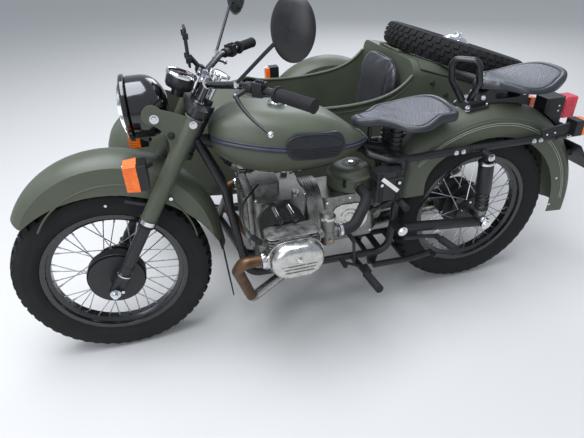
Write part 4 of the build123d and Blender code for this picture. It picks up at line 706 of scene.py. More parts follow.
# Barrels: turned iron sleeves with thin cooling fins, in heat-dulled paint. Two chromed pushrod tubes run over each,
# in rubber seals.
BARREL_FINS, BARREL_PITCH = 10, 10.4
mesh = bmesh.new()
for side in (1, -1):
    out = facing(at(*CRANK), (side, 0, 0))
    sweep(mesh, [at(side * x, CRANK.y, CRANK.z) for x in (BARREL_FROM, BARREL_TO)], 54, sides=48)
    for fin in range(BARREL_FINS):
        height = BARREL_FROM + 13 + fin * BARREL_PITCH
        plate(mesh, rounded(150, 160, 56), out, height, height + 3.2)
    for y in (CRANK.y - 26, CRANK.y + 26):
        low, high = at(side * (BARREL_FROM - 4), y, 582), at(side * (BARREL_TO + 6), y, 590)
        sweep(mesh, [low, high], 9, sides=20, slot=1)
        sweep(mesh, [low, low.lerp(high, 0.16)], 12.5, sides=20, slot=2)
        sweep(mesh, [low.lerp(high, 0.84), high], 12.5, sides=20, slot=2)
piece("finned_barrels", mesh, [barrel_iron, bolt_chrome, control_rubber], "machine", ["barrels"])

# Heads: cast alloy with level fins, a plug boss in front, an exhaust port and an inlet port, each held down by four
# nuts.
HEAD_FINS, HEAD_PITCH = 13, 10.6
mesh = bmesh.new()
for side in (1, -1):
    out = Vector((side, 0, 0))
    flat = facing(at(0, CRANK.y, CRANK.z), out)
    skin(mesh, [slice_of(rounded(130, 150, 40), flat, height) for height in (BARREL_TO + 0.3, HEAD_TO)])
    level = facing(at(side * 273, CRANK.y, 0), (0, 0, 1), (1, 0, 0))
    for fin in range(HEAD_FINS):
        z = CRANK.z - 63 + fin * HEAD_PITCH
        plate(mesh, rounded(80, 178, 22), level, z, z + 3.4)
    plate(mesh, rounded(128, 182, 58), flat, HEAD_TO - 6, HEAD_TO)
    sweep(mesh, [at(side * 292, -216, 552), at(side * 300, -236, 566)], 13, sides=24)
    for y in (-58, 58):
        for z in (-48, 48):
            stub(mesh, at(side * (HEAD_TO - 10), CRANK.y + y, CRANK.z + z), out, 0, 14, 7, slot=1)
    flange = at(side * 286, -214, 486)
    plate(mesh, rounded(66, 52, 20), facing(flange, (0, -1, 0), (1, 0, 0)), 0, 9, slot=2)
    for across in (-26, 26):
        stub(mesh, flange + Vector((across / 1000, 0, 0)), Vector((0, -1, 0)), 9, 18, 5.5, slot=1)
piece("finned_cylinder_heads", mesh, [cast_alloy, bolt_chrome, polished_alloy], "machine", ["cylinder_heads"])

# Rocker covers: polished alloy castings, oval with three level ribs low on the face, each held to its head by one
# sunk nut in the middle.
# Height over the head, and the share of the foot's outline there
DOME = ((0.3, 1.0), (8, 1.0), (9, 0.975), (26, 0.955), (38, 0.91), (45, 0.84), (49.5, 0.74), (51.6, 0.62), (52, 0.4),
        (52, 0.05))
NUT_UP = 14
mesh = bmesh.new()
for side in (1, -1):
    out = facing(at(side * HEAD_TO, CRANK.y, CRANK.z), (side, 0, 0))
    skin(mesh, [slice_of(rounded(132, 186, 62, steps=10), out, height, scale) for height, scale in DOME])
    for up in (-30, -18, -6):
        rib = rounded(4.4, 2 * (62 + up * 0.42), 2.1, steps=3)
        skin(mesh, [slice_of(rib, out, height, scale, up) for height, scale in ((44, 1.0), (54.5, 1.0), (55.5, 0.86))])
    turn(mesh, [(13, 50), (13, 53.4), (11, 54), (9.6, 53), (9.6, 51), (0.05, 51)],
         out @ Matrix.Translation(Vector((NUT_UP, 0, 0)) / 1000), steps=32)
    stub(mesh, at(side * (HEAD_TO + 50), CRANK.y, CRANK.z + NUT_UP), Vector((side, 0, 0)), 0, 6, 7.5, slot=1)
piece("rocker_box_covers", mesh, [polished_alloy, bolt_chrome], "machine", ["rocker_covers"])

# Plug caps and leads: moulded black rubber caps pushed on the plugs, with short stiff leads in a black sleeve that
# run back under the tank.
lead_sleeve = new_material("lead_sleeve_black", "#151517", 0.45, (10, ("#121214", "#1C1C1E"), (0.4, 0.5)))
mesh = bmesh.new()
for side in (1, -1):
    cap_end = at(side * 296, -262, 592)
    sweep(mesh, [at(side * 300, -236, 566), cap_end], 10, sides=16, slot=0)
    lead = [cap_end] + [at(side * x, y, z) for x, y, z in ((270, -286, 628), (190, -270, 652), (110, -220, 650),
                                                           (60, -190, 646))]
    sweep(mesh, bends(lead, 60, 8), 4, sides=10, slot=1)
piece("plug_caps_and_leads", mesh, [control_rubber, lead_sleeve], "machine", bevel=0.8)

# Carburettors: die-cast alloy bodies held between the inlet ports and the elbows, with a round slide top, a float
# bowl and brass screws.
INLET_X, INLET_Z = 262, 534
brass_plain = new_material("turned_brass", "#B98F4E", 0.25, (10, ("#A67F43", "#C99D58"), (0.2, 0.35)), Metallic=1.0)
mesh = bmesh.new()
for side in (1, -1):
    x = side * INLET_X
    sweep(mesh, [at(x, -38.5, INLET_Z), at(x, 40, INLET_Z)], 18, sides=32)
    for y in (-36, 34):
        plate(mesh, rounded(58, 40, 16), facing(at(x, y, INLET_Z), (0, 1, 0), (1, 0, 0)), 0, 6)
    bowl = facing(at(x, 2, 492), (0, 0, 1))
    turn(mesh, [(0.05, 0), (22, 0), (25, 3), (25, 44), (23, 48), (23, 92), (25, 94), (25, 104), (21, 110), (19, 120),
                (0.05, 120)], bowl, steps=40)
    turn(mesh, [(26, 96), (27.5, 98), (27.5, 106), (26, 108)], bowl, steps=24, slot=1)
    for across in (-17, 17):
        stub(mesh, at(x + across, 2, 603), Vector((0, 0, 1)), 0, 6, 3.5, sides=12, slot=2)
    sweep(mesh, [at(x + side * 24, 2, 520), at(x + side * 36, 2, 520)], 5, sides=10, slot=2)
piece("slide_carburettors", mesh, [cast_alloy, polished_alloy, brass_plain], "machine", ["carburettors"])

# Air filter: a deep-drawn steel can with a stepped, domed lid in matte olive, held by wire clips, and the moulded
# rubber elbows that feed both carburettors.
CAN_Y = 184
can = facing(at(0, CAN_Y, 562), (0, 0, 1))
mesh = bmesh.new()
turn(mesh, [(0.05, 0), (88, 0), (92, 4), (92, 46), (93.5, 48), (93.5, 53), (91, 55), (84, 56), (79, 60), (76, 70),
            (70, 78), (60, 82), (42, 84), (30, 85), (28, 86), (0.05, 86)], can, steps=80)
for clip in range(3):
    turned = can @ Matrix.Rotation(2 * math.pi * clip / 3 + 0.7, 4, "Z")
    block(mesh, (92, -7, 26), (97, 7, 58), turned, slot=1, draft=1)
stub(mesh, at(0, CAN_Y, 648), Vector((0, 0, 1)), 0, 6, 9, slot=1)
piece("air_filter_can", mesh, [olive_enamel, bolt_chrome], "machine", ["air_filter"])
mesh = bmesh.new()
for side in (1, -1):
    route = bends([at(side * INLET_X, 40.3, INLET_Z), at(side * INLET_X, 96, INLET_Z), at(side * 176, CAN_Y, 588),
                   at(side * 92.3, CAN_Y, 588)], 52, 10)
    sweep(mesh, route, 20, sides=32)
    for spot, after in ((route[0], route[1]), (route[-1], route[-2])):
        run = (after - spot).normalized()
        stub(mesh, spot, run, 4, 14, 21.6, sides=32, slot=1)
        stub(mesh, spot, run, 0, 22, 21.0, sides=32, slot=0)
piece("intake_elbow_pair", mesh, [control_rubber, bolt_chrome], "machine", ["intake_elbows"])


# Frame: brazed steel tube in satin black enamel, with plated bolts through the rails that carry the mudguard, the
# shock absorbers and the pivot of the swing arm, and rubber clips round the rails.
RAIL_Z = 680


def washered_bolts(mesh, bolts, sides):
    """Adds a bolt's head on its washer on both flanks, for each x, y, z and radius in mm."""
    for x, y, z, radius in bolts:
        for side in (1, -1):
            head, out = at(side * x, y, z), Vector((side, 0, 0))
            stub(mesh, head, out, -2, 2, radius * 1.5, sides)
            stub(mesh, head, out, 2, 8, radius)


for node in ("frame", "swing_arm", "centre_stand", "kick_start", "sidecar_chassis", "sidecar_arm", "seat_base",
             "rider_saddle_bracket", "pillion_bracket"):
    finish(node, satin_enamel)
mesh = bmesh.new()
washered_bolts(mesh, ((113, 560, RAIL_Z, 6), (113, 590, RAIL_Z, 6), (113, 900, RAIL_Z, 6), (113, 930, RAIL_Z, 6),
                      (150, 353, 392, 13), (150, 735, 350, 15), (114, 1060, RAIL_Z, 6)), 28)
for side in (1, -1):
    for y in (352, 620, 1000):
        stub(mesh, at(side * 100, y, RAIL_Z), Vector((0, 1, 0)), 0, 12, 15.4, sides=28, slot=1)
piece("frame_bolts_and_clips", mesh, [bolt_chrome, control_rubber], "machine")

# Fuel tank: two deep-drawn steel pressings seam-welded at a flange, which is dressed with a blue-grey rubber strip.
# The filler cap is chromed and turns on a bayonet.
SEAM_YS = range(-326, 235, 10)


def surface_of(node):
    """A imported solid's surface, to be met by straight lines."""
    solid = bmesh.new()
    solid.from_mesh(nodes[node].data)
    solid.transform(nodes[node].matrix_world)
    surface = BVHTree.FromBMesh(solid)
    solid.free()
    return surface


def landed(surface, spots, way, reach=0.3):
    """Where straight lines from the spots meet a surface, without those that miss it."""
    found = [surface.ray_cast(spot, Vector(way), reach)[0] for spot in spots]
    return [point for point in found if point is not None]


def seam_z(y):
    """The height of the tank's flange, which falls towards the tail."""
    return 841.5 - 90 * (y + 332) / 568


strip_rubber = new_material("seam_strip_rubber", "#33363F", 0.42, (40, ("#2D3038", "#3B3E48"), (0.36, 0.5)),
                            Specular_IOR_Level=0.5)
finish("fuel_tank", olive_enamel)
tank_surface = surface_of("fuel_tank")
mesh = bmesh.new()
# Each bead of the strip: height over the flange and radius
for lift, radius in ((0, 4.6), (7.5, 4.0), (-7.5, 4.0)):
    left, right = [landed(tank_surface, [at(side * 300, y, seam_z(y) + lift) for y in SEAM_YS], (-side, 0, 0))
                   for side in (1, -1)]
    sweep(mesh, left + right[::-1], radius, sides=10, slot=0, looped=True)
turn(mesh, [(33, 0), (33, 3), (30, 5), (30, 12)] + [(31.5 if k % 2 else 30.5, 13 + k * 1.5) for k in range(6)]
     + [(28, 24), (20, 27), (0.05, 28)], facing(at(0, -92, 902), (0, -0.05, 1)), steps=72, slot=1)
piece("tank_seam_strip_and_cap", mesh, [strip_rubber, bolt_chrome], "machine")

# Knee pads: black rubber moulded in one piece and glued to the tank's flanks, smooth along the top and ribbed
# lengthwise below.
PAD_Z = 802
PAD_RIBS, PAD_RIB_PITCH = 6, 7.2


def on_pad(side, spots):
    """Where a pad's own (along, up) points, in mm from its middle, lie on its outer face."""
    starts = [at(side * 300, along * 0.990 - up * 0.139, PAD_Z - along * 0.139 + up * 0.990) for along, up in spots]
    return landed(pad_surface, starts, (-side, 0, 0))


pad_rubber = new_material("ribbed_pad_rubber", "#1D1E21", 0.5, (40, ("#18191C", "#24262A"), (0.42, 0.58)),
                          Specular_IOR_Level=0.45)
finish("knee_pads", pad_rubber)
pad_surface = surface_of("knee_pads")
mesh = bmesh.new()
for side in (1, -1):
    for rib in range(PAD_RIBS):
        up = -1 - rib * PAD_RIB_PITCH
        half = 98 * math.sqrt(max(0.0, 1 - (up / 46) ** 2)) - 3
        run = on_pad(side, [(half * (step / 12 - 1), up) for step in range(25)])
        if len(run) > 3:
            sweep(mesh, run, 2.4, sides=8)
    rim = on_pad(side, [(104 * math.copysign(abs(c) ** 0.75, c), 41 * math.copysign(abs(s) ** 0.75, s))
                        for c, s in circle(72)])
    if len(rim) > 40:
        sweep(mesh, rim, 2.6, sides=8, looped=True)
piece("knee_pad_ribs", mesh, [pad_rubber], "machine")

# Saddles: each is one moulding of black rubber stretched on a steel pan, dished, with a smooth rolled border, a
# sunk line inside it and a woven pattern over the middle.
# Share of the way from the middle to the edge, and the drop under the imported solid's top
BORDER = ((0.94, -37), (0.985, -33), (1.0, -24), (1.0, -13), (0.99, -6), (0.975, -2.2), (0.95, -0.4), (0.90, -0.4),
          (0.878, -1.5), (0.868, -4.0), (0.852, -4.0), (0.842, -1.8))
PANEL = ((0.842, -1.8), (0.82, -1.0), (0.74, -1.5), (0.6, -3.0), (0.45, -4.5), (0.3, -5.5), (0.15, -6.0), (0.02, -6.2))
# The weave's pitch in mm each way
WEAVE = (("X", 6.5), ("Y", 5.0))
# The woven top is coloured lighter and bluer than the smooth border: a painted sheen of sky light on the saddles'
# tops.
woven_top_painted_sheen = new_material("woven_saddle_top_painted_sheen", "#343740", 0.34, (60, ("#2F323A", "#3E424B"), (0.27, 0.39)),
                            Specular_IOR_Level=0.7)
saddle_skin = new_material("smooth_saddle_rubber", "#26282C", 0.32, (60, ("#1F2125", "#2A2C31"), (0.3, 0.44)),
                           (1.2, 0.05), Specular_IOR_Level=0.5)
tree = woven_top_painted_sheen.node_tree
turned = add_node(tree, "Mapping", inputs={
    "Vector": tree.nodes["Texture Coordinate"].outputs["Object"], "Rotation": (0, 0, 0.5)})
woven = add_node(tree, "Math", {"operation": "MULTIPLY"})
for socket, (axis, pitch_mm) in zip(woven.inputs, WEAVE):
    threads = add_node(tree, "TexWave", {"bands_direction": axis}, {
        "Vector": turned.outputs["Vector"], "Scale": WAVE_MM / pitch_mm})
    tree.links.new(threads.outputs["Fac"], socket)
emboss(woven_top_painted_sheen, woven.outputs["Value"], 1.6, 0.8)


def girdle(surface, heart, steps):
    """The loop in which level lines drawn in to a heart meet the surface round it."""
    found = [surface.ray_cast(heart + Vector((c, s, 0)) * 0.5, Vector((-c, -s, 0)))[0] for c, s in circle(steps)]
    return [point for point in found if point is not None]


def saddle(node):
    """One saddle's moulding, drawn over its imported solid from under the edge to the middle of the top."""
    low, high = (Vector(corner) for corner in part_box(node))
    surface = surface_of(node)
    heart = Vector(((low.x + high.x) / 2, high.y - 0.150, low.z + 0.008))
    half = (high.x - low.x) / 2
    outline = girdle(surface, heart, 144)

    def ring(share, drop):
        """The outline drawn in to a share of its distance, at a drop in mm under the saddle's top."""
        spots = []
        for point in outline:
            spot = heart.lerp(point, share)
            y = min(max(spot.y, low.y + 0.004), high.y - 0.004)
            top = surface.ray_cast(Vector((heart.x, y, high.z + 0.1)), Vector((0, 0, -1)))[0].z
            wing = 0.014 * (abs(spot.x - heart.x) / half) ** 2.5
            pinch = 0.006 * (abs(spot.x - heart.x) / 0.04) ** 2 if y < low.y + 0.06 else 0.0
            spot.z = max(low.z + 0.001, top - wing - min(pinch, 0.008) + drop / 1000)
            spots.append(spot)
        return spots

    mesh = bmesh.new()
    base = [[Vector((*heart.lerp(point, share).xy, low.z + 0.0005)) for point in outline] for share in (0.3, 0.72)]
    skin(mesh, base + [ring(*layer) for layer in BORDER], slot=1, ends=(True, False))
    skin(mesh, [ring(*layer) for layer in PANEL], slot=0, ends=(False, True))
    bmesh.ops.remove_doubles(mesh, verts=mesh.verts, dist=0.00002)
    piece(node + "_skin", mesh, [woven_top_painted_sheen, saddle_skin], "machine", [node], crease=60,
          subdivide=1)


saddle("rider_saddle")
saddle("pillion_saddle")

# Saddle irons: pressed brackets with plated bolts, and a foot plate under the passenger's hoop, which is a steel
# loop cased in glossy black rubber.
hoop_rubber = new_material("glossy_hoop_rubber", "#141416", 0.25, (30, ("#111113", "#1B1B1D"), (0.2, 0.32)),
                           Specular_IOR_Level=0.55)
finish("grab_hoop", hoop_rubber)
mesh = bmesh.new()
washered_bolts(mesh, ((37, 632, 816, 9), (37, 690, 852, 6), (37, 872, 852, 6), (37, 640, 796, 6),
                      (45, 345, 790, 6)), 24)
foot = facing(at(0, 668, 822), (0, -0.12, 1), (1, 0, 0))
plate(mesh, rounded(112, 100, 16), foot, -3, 1, slot=1)
for x, y in ((-44, -38), (44, -38), (-44, 38), (44, 38)):
    stub(mesh, within(foot, x, y, 1), Vector((0, 0, 1)), 0, 6, 6)
piece("saddle_iron_bolts", mesh, [bolt_chrome, satin_enamel], "machine", bevel=0.5)

# Rear mudguard: a deep steel pressing in the same olive, bolted to the rails, with a swaged bead along its skirt and
# two pale lines painted inside it.
REAR_ARCH = (731, 335)
line_paint = new_material("lining_paint_pale", "#A6AD98", 0.5, (30, ("#9CA38E", "#B0B7A2"), (0.45, 0.55)))
finish("rear_fender", olive_enamel)
mesh = bmesh.new()
for side in (1, -1):
    for radius, thick, slot, x in ((436, 3.2, 0, 79.6), (424, 1.0, 1, 80.2), (416, 1.0, 1, 80.2)):
        sweep(mesh, arch_run(side * x, REAR_ARCH, radius, range(4, 137, 3)), thick, sides=8, slot=slot)
    for y, z in ((1100, 340), (1098, 470), (326, 520), (326, 640)):
        stub(mesh, at(side * 80, y, z), Vector((side, 0, 0)), 0, 3, 5, sides=16, slot=2)
piece("rear_fender_bead_and_lining", mesh, [olive_enamel, line_paint, bolt_chrome], "machine")

# Tail lamps: a black plastic housing with a moulded red lens on the crown of the mudguard, orange signals on
# pressed black arms, and a blank number plate on its holder.
PLATE_OUT = Vector((0, 0.797, 0.604))
red_lens = new_material("red_moulded_lens", "#C9203A", 0.16, (30, ("#BC1B33", "#D63049"), (0.1, 0.2)),
                        Subsurface_Weight=0.2, Coat_Weight=0.5, Subsurface_Radius=(0.02, 0.004, 0.004))
ridges(red_lens, "Z", PRISM_MM, 1.0, 0.6)
finish("tail_lamp", moulded_black)
finish("tail_lens", red_lens)
finish("plate_holder", satin_enamel)
mesh = bmesh.new()
for side in (1, -1):
    block(mesh, (-28, 0, -30), (28, 34, 30), Matrix.Translation(at(side * 150, 1016, 736)), slot=1)
    block(mesh, (-30, -30, 0), (30, 30, 30), facing(at(side * 150, 1050, 736), (0, 1, 0), (1, 0, 0)), slot=0, draft=4)
    arm_from, arm_to = at(side * 112, 930, 700), at(side * 146, 1022, 732)
    run = arm_to - arm_from
    block(mesh, (-16, -5, 0), (22, 5, run.length * 1000), facing(arm_from, run), slot=1)
    for share in (0.14, 0.42):
        stub(mesh, arm_from.lerp(arm_to, share), Vector((side, 0, 0)), 5, 11, 5, slot=2)
piece("rear_signal_lamps", mesh, [amber_lens, moulded_black, bolt_chrome], "machine", ["rear_signals"],
      bevel=3.0)
mesh = bmesh.new()
for x, z in ((36, 760), (-36, 760), (36, 780), (-36, 780)):
    stub(mesh, at(x, 1050, z), Vector((math.copysign(1, x), 0, 0)), 0, 3, 4, sides=12)
plate_face = facing(at(0, 1213.5, 550), PLATE_OUT, (1, 0, 0))
plate(mesh, rounded(184, 150, 8), plate_face, -1, 1.2, slot=1)
for x in (-60, 60):
    stub(mesh, within(plate_face, x, 62, 1.2), PLATE_OUT, 0, 3, 4, sides=12)
piece("lamp_screws_and_blank_plate", mesh, [bolt_chrome, dial_white], "machine")

# Rear shock absorbers: a chromed eye and collar over a black shroud, black coils showing below it and an alloy
# clevis bolted to the swing arm.
COILS, COIL_STEPS, COIL_FROM, COIL_LENGTH = 4, 20, 160, 74
mesh = bmesh.new()
for side in (1, -1):
    out = Vector((side, 0, 0))
    top, foot = at(side * 138, 680, 663), at(side * 138, 706, 386)
    down = (foot - top).normalized()
    length = (foot - top).length * 1000
    body = facing(top, down, (0, 1, 0))
    for profile, steps, slot in (
            ([(0.05, 9), (14, 9), (14, 26), (0.05, 26)], 32, 0),
            ([(24, 22), (30, 24), (31, 28), (31, 33), (28.5, 36)], 48, 1),
            ([(0.05, 24), (27, 26), (29, 34), (29, 154), (27, 158), (22, 158)], 48, 0),
            ([(0.05, 236), (26, 238), (26, 244), (18, 250), (15, length - 4), (0.05, length - 4)], 40, 2)):
        turn(mesh, profile, body, steps, slot)
    coil = [within(body, 23 * c, 23 * s, COIL_FROM + COIL_LENGTH * step / (COILS * COIL_STEPS))
            for step, (c, s) in enumerate(circle(COIL_STEPS) * COILS + [(1.0, 0.0)])]
    sweep(mesh, coil, 4.6, sides=10, slot=0)
    stub(mesh, top, down, 150, 245, 13, sides=24, slot=2)
    for end, radius, slot in ((top, 16, 0), (foot, 14, 2)):
        stub(mesh, end, out, -18, 22, radius, sides=32, slot=slot)
        stub(mesh, end, out, 22, 26, radius - 2, sides=32, slot=1)
        stub(mesh, end, out, 26, 34, 9, slot=1)
piece("shock_absorbers", mesh, [satin_enamel, bolt_chrome, cast_alloy], "machine", ["rear_shocks"])

# Exhaust: mandrel-bent steel pipes held to the ports by ring nuts, dull chromed but browned by heat below the heads,
# and clamped into silencers that end in a cone.
# Ahead of this y and above this z, in metres, the pipes are browned
BROWN_Y, BROWN_Z = -0.20, 0.25
heat_tint = new_material("heat_browned_pipe", "#5A4132", 0.42, (45, ("#4A3629", "#7A5E45"), (0.34, 0.56)),
                         Metallic=0.85)
pipe_steel = new_material("dull_chromed_pipe", "#B9B6B0", 0.24, (70, ("#A8A29A", "#C8C6C2"), (0.16, 0.32)),
                          Metallic=1.0)
finish("exhaust", pipe_steel, heat_tint)
for face in nodes["exhaust"].data.polygons:
    seat = nodes["exhaust"].matrix_world @ face.center - datum
    if seat.y < BROWN_Y and seat.z > BROWN_Z:
        face.material_index = 1
mesh = bmesh.new()
for side in (1, -1):
    turn(mesh, [(20.3, -10), (29, -8), (31, 0), (29, 8), (20.3, 12)],
         facing(at(side * 286, -228, 486), (0, -1, 0)), steps=36)
for x in (-178, -262):
    inlet, outlet = at(x, 290, 248), at(x, 870, 300)
    run = (outlet - inlet).normalized()
    for start, end, radius, sides in ((56, 64, 38.6, 48), (516, 524, 38.6, 48), (-16, 10, 22.6, 32)):
        stub(mesh, inlet, run, start, end, radius, sides)
    stub(mesh, outlet, run, -2, 1, 17.0, sides=32, slot=1)
piece("exhaust_clamps_and_port_nuts", mesh, [bolt_chrome, drum_iron], "machine")

# Foot controls: steel pegs and pedals in black enamel, with ribbed sleeves of moulded rubber pushed on where the
# feet rest.
RIB_MM = 5
# Each rubber sleeve: where it starts and ends, its radius, and the sides of the machine that have it
SLEEVES = (
    ((214, 180.6, 270.8), (322, 186.1, 280.2), 15.5, (1, -1)),
    ((184, 506.9, 345), (254, 524, 345), 14.5, (1, -1)),
    ((143, 104, 306), (187, 104, 306), 9.6, (1, -1)),
    ((143, 206, 253), (187, 206, 253), 9.6, (1,)),
    ((122, 330, 528), (198, 330, 528), 13.0, (1,)),
)
finish("foot_controls", satin_enamel)
mesh = bmesh.new()
for start, end, radius, sides in SLEEVES:
    for side in sides:
        inner, outer = at(side * start[0], *start[1:]), at(side * end[0], *end[1:])
        length = (outer - inner).length * 1000
        count = int(length / RIB_MM)
        profile = [(radius - 3.4, 0), (radius + 1.0, 0), (radius + 1.0, 3)]
        for rib in range(1, count):
            profile += [(radius - 0.9, rib * length / count - 1.4), (radius + 0.5, rib * length / count + 0.6)]
        profile += [(radius + 1.0, length - 3), (radius - 0.5, length), (0.05, length + 0.4)]
        turn(mesh, profile, facing(inner, outer - inner), steps=28)
piece("peg_rubbers", mesh, [control_rubber], "machine")

# Battery box: a folded steel case in satin black under the left rail. Two rubber straps hold its lid down, and its
# printed label is left blank.
finish("battery_box", satin_enamel)
mesh = bmesh.new()
plate(mesh, rounded(15, 88, 2), facing(at(163.2, 274, 617), (1, 0, 0), (0, 0.667, 0.745)), -0.4, 0.8, slot=0)
for y in (240, 308):
    block(mesh, (-4, -9, -56), (2.4, 9, 54), Matrix.Translation(at(160.5, y, 606)), slot=1)
    stub(mesh, at(163, y, 622), Vector((1, 0, 0)), 0, 4, 6, sides=16, slot=2)
piece("battery_label_and_straps", mesh, [dial_white, control_rubber, bolt_chrome], "machine", bevel=0.6)


# Sidecar body: welded sheet steel in the machine's olive, its cockpit edge rolled over a wire with a second swage
# just under it, and a rubber gasket along the boot lid. Two black catches stand on its left flank.
SIDECAR_X = (middle("sidecar_body") - datum).x * 1000
# The arc over the nose that the cockpit's edge follows: its radius, the y of its centre and half its width
NOSE_R, NOSE_Y, NOSE_HALF = 310.5, 187.5, 226


def flank(side, y, z):
    """Where a level line meets the sidecar's flank from outside, if it does."""
    return body_surface.ray_cast(at(SIDECAR_X + side * 400, y, z), Vector((-side, 0, 0)), 0.25)[0]


def rim_z(side, y):
    """The height of the cockpit's edge on a flank, found between a height in the wall and one above it."""
    low, high = 700.0, 900.0
    for halving in range(12):
        half = (low + high) / 2
        if flank(side, y, half):
            low = half
        else:
            high = half
    return low


def flank_run(side, spots, lift):
    """The points of a flank at those (y, z) spots, raised by a lift in mm."""
    found = [flank(side, y, z) for y, z in spots]
    return [point + Vector((0, 0, lift / 1000)) for point in found if point is not None]


def cockpit_edge(drop):
    """A path at a drop in mm under the cockpit's edge: up one flank, across the nose and down the other."""
    left, right = [flank_run(side, [(y, rim_z(side, y) - drop - 2) for y in range(598, 9, -12)], 2)
                   for side in (1, -1)]
    spots = []
    for step in range(41):
        angle = math.radians(-150 + 3 * step)
        x, y = (NOSE_R + drop) * math.cos(angle), NOSE_Y + (NOSE_R + drop) * math.sin(angle)
        if abs(x) < NOSE_HALF:
            spots.append(at(SIDECAR_X + x, y, 1000))
    path = right + landed(body_surface, spots, (0, 0, -1), 0.5) + left[::-1]
    for smoothing in range(6):
        path = [path[0]] + [(a + b * 2 + c) / 4 for a, b, c in zip(path, path[1:], path[2:])] + [path[-1]]
    return path


finish("sidecar_body", olive_enamel)
finish("boot_lid", olive_enamel)
body_surface = surface_of("sidecar_body")
mesh = bmesh.new()
sweep(mesh, cockpit_edge(0), 7.5, sides=14, slot=0)
sweep(mesh, cockpit_edge(26), 2.6, sides=8, slot=0)
for side in (1, -1):
    lid_ys = [640 + step * 9.6 for step in range(54)]
    sweep(mesh, flank_run(side, [(y, 866 - (y - 634) * 172 / 526) for y in lid_ys], 5.5), 3.0, sides=8, slot=1)
for y, z in ((700, 806), (780, 742)):
    seat, away = flank(1, y, z), Vector((1, 0, 0))
    turn(mesh, [(0.05, 13), (7, 12), (9, 8), (7, 5), (5, 0), (0.05, 0)], facing(seat, away), steps=24, slot=1)
    stub(mesh, seat, away, 0, 2, 11, sides=24, slot=2)
piece("cockpit_rim_and_gasket", mesh, [olive_enamel, control_rubber, bolt_chrome], "machine")

# Sidecar seat: foam cushions in black leather cloth, the back's top arched, with piped seams round both. They are
# blown up by simulation from a slightly smaller shape, so their faces crown and their sides pull in.
VOXEL_MM, SWELL_MM, CLOTH_FRAMES = 6, 14, 20
seat_cloth = new_material("black_leather_cloth", "#1C1D20", 0.38, (90, ("#17181B", "#232529"), (0.3, 0.46)),
                          (2.2, 0.16, 6.0), Specular_IOR_Level=0.5, Sheen_Weight=0.08)


def blown(mesh, low, high):
    """The closed mesh remeshed and blown up like a stuffed cover, kept between two corners in metres."""
    scene = bpy.context.scene
    data = bpy.data.meshes.new("cover")
    bmesh.ops.recalc_face_normals(mesh, faces=mesh.faces)
    mesh.to_mesh(data)
    mesh.free()
    cover = bpy.data.objects.new("cover", data)
    scene.collection.objects.link(cover)
    remesh = cover.modifiers.new("remesh", "REMESH")
    remesh.mode = "VOXEL"
    remesh.voxel_size = VOXEL_MM / 1000
    even = bpy.data.meshes.new_from_object(cover.evaluated_get(bpy.context.evaluated_depsgraph_get()))
    cover.modifiers.clear()
    cover.data = even
    start = [v.co.copy() for v in even.vertices]
    cloth = cover.modifiers.new("cloth", "CLOTH")
    cloth.settings.quality = 6
    cloth.settings.mass = 0.25
    cloth.settings.tension_stiffness = cloth.settings.compression_stiffness = 40
    cloth.settings.bending_stiffness = 2
    cloth.settings.use_pressure = True
    cloth.settings.uniform_pressure_force = 4
    cloth.settings.effector_weights.gravity = 0
    cloth.point_cache.frame_start, cloth.point_cache.frame_end = 1, CLOTH_FRAMES
    for frame_number in range(1, CLOTH_FRAMES + 1):
        scene.frame_set(frame_number)
    swollen = cover.evaluated_get(bpy.context.evaluated_depsgraph_get()).data
    for vertex, was, now in zip(even.vertices, start, [v.co.copy() for v in swollen.vertices]):
        moved = now - was
        vertex.co = was + moved * min(1.0, SWELL_MM / 1000 / max(moved.length, 1e-9))
    cover.modifiers.clear()
    scene.frame_set(1)
    puffed = bmesh.new()
    puffed.from_mesh(cover.data)
    for smoothing in range(8):
        bmesh.ops.smooth_vert(puffed, verts=puffed.verts, factor=0.5, use_axis_x=True, use_axis_y=True,
                              use_axis_z=True)
    for vertex in puffed.verts:
        for axis in range(3):
            vertex.co[axis] = min(max(vertex.co[axis], low[axis]), high[axis])
    bpy.data.objects.remove(cover)
    return puffed


low, high = (Vector(corner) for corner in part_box("seat_cushion"))
heart = (low + high) / 2
span = (high - low) * 1000
seat_place = facing(heart, (0, 0, 1), (1, 0, 0))
mesh = bmesh.new()
# Height over the middle, and how far the outline is drawn in there
skin(mesh, [slice_of(rounded(span.x - 2 * inset, span.y - 2 * inset, 62), seat_place, height)
            for height, inset in ((-44, 16), (-34, 8), (-10, 6), (14, 8), (26, 14), (33, 30))])
cushion = blown(mesh, low + Vector((0.001, 0.001, 0.0005)), high - Vector((0.001, 0.001, 0.001)))
cushion_surface = BVHTree.FromBMesh(cushion)
for vertex in cushion.verts:
    across = (vertex.co.x - heart.x) * 1000
    if vertex.co.z > heart.z + 0.02:
        for channel in (-106, 0, 106):
            vertex.co.z -= 0.005 * math.exp(-((across - channel) / 7) ** 2)
pad = piece("sidecar_seat_cushion", cushion, [seat_cloth], "machine", ["seat_cushion"],
            crease=180, subdivide=1)
mesh = bmesh.new()
for height in (0.022, -0.030):
    sweep(mesh, girdle(cushion_surface, heart + Vector((0, 0, height)), 96), 3.2, sides=8, looped=True)
piece("seat_cushion_piping", mesh, [seat_cloth], "machine")

BACK_HALF, BACK_HEIGHT, BACK_CORNER = 206.0, 338.0, 128.0
BACK_FOOT_Z, BULKHEAD_Y = 564, 599.5


def arched(inset):
    """The back rest's outline seen from the front, in (across, up) mm from its foot, drawn in by inset."""
    half, height, corner = BACK_HALF - inset, BACK_HEIGHT - inset, BACK_CORNER - inset
    outline = [(-half + 26, inset), (half - 26, inset), (half, 26 + inset)]
    for centre, start in ((half - corner, 0), (-half + corner, 90)):
        for step in range(13):
            angle = math.radians(start + 90 * step / 12)
            outline.append((centre + corner * math.cos(angle), height - corner + corner * math.sin(angle)))
    return outline + [(-half, 26 + inset)]


def back_front(up):
    """The y of the back rest's front face at a height over its foot; it leans back as it rises."""
    return 508 + 50 * up / 343


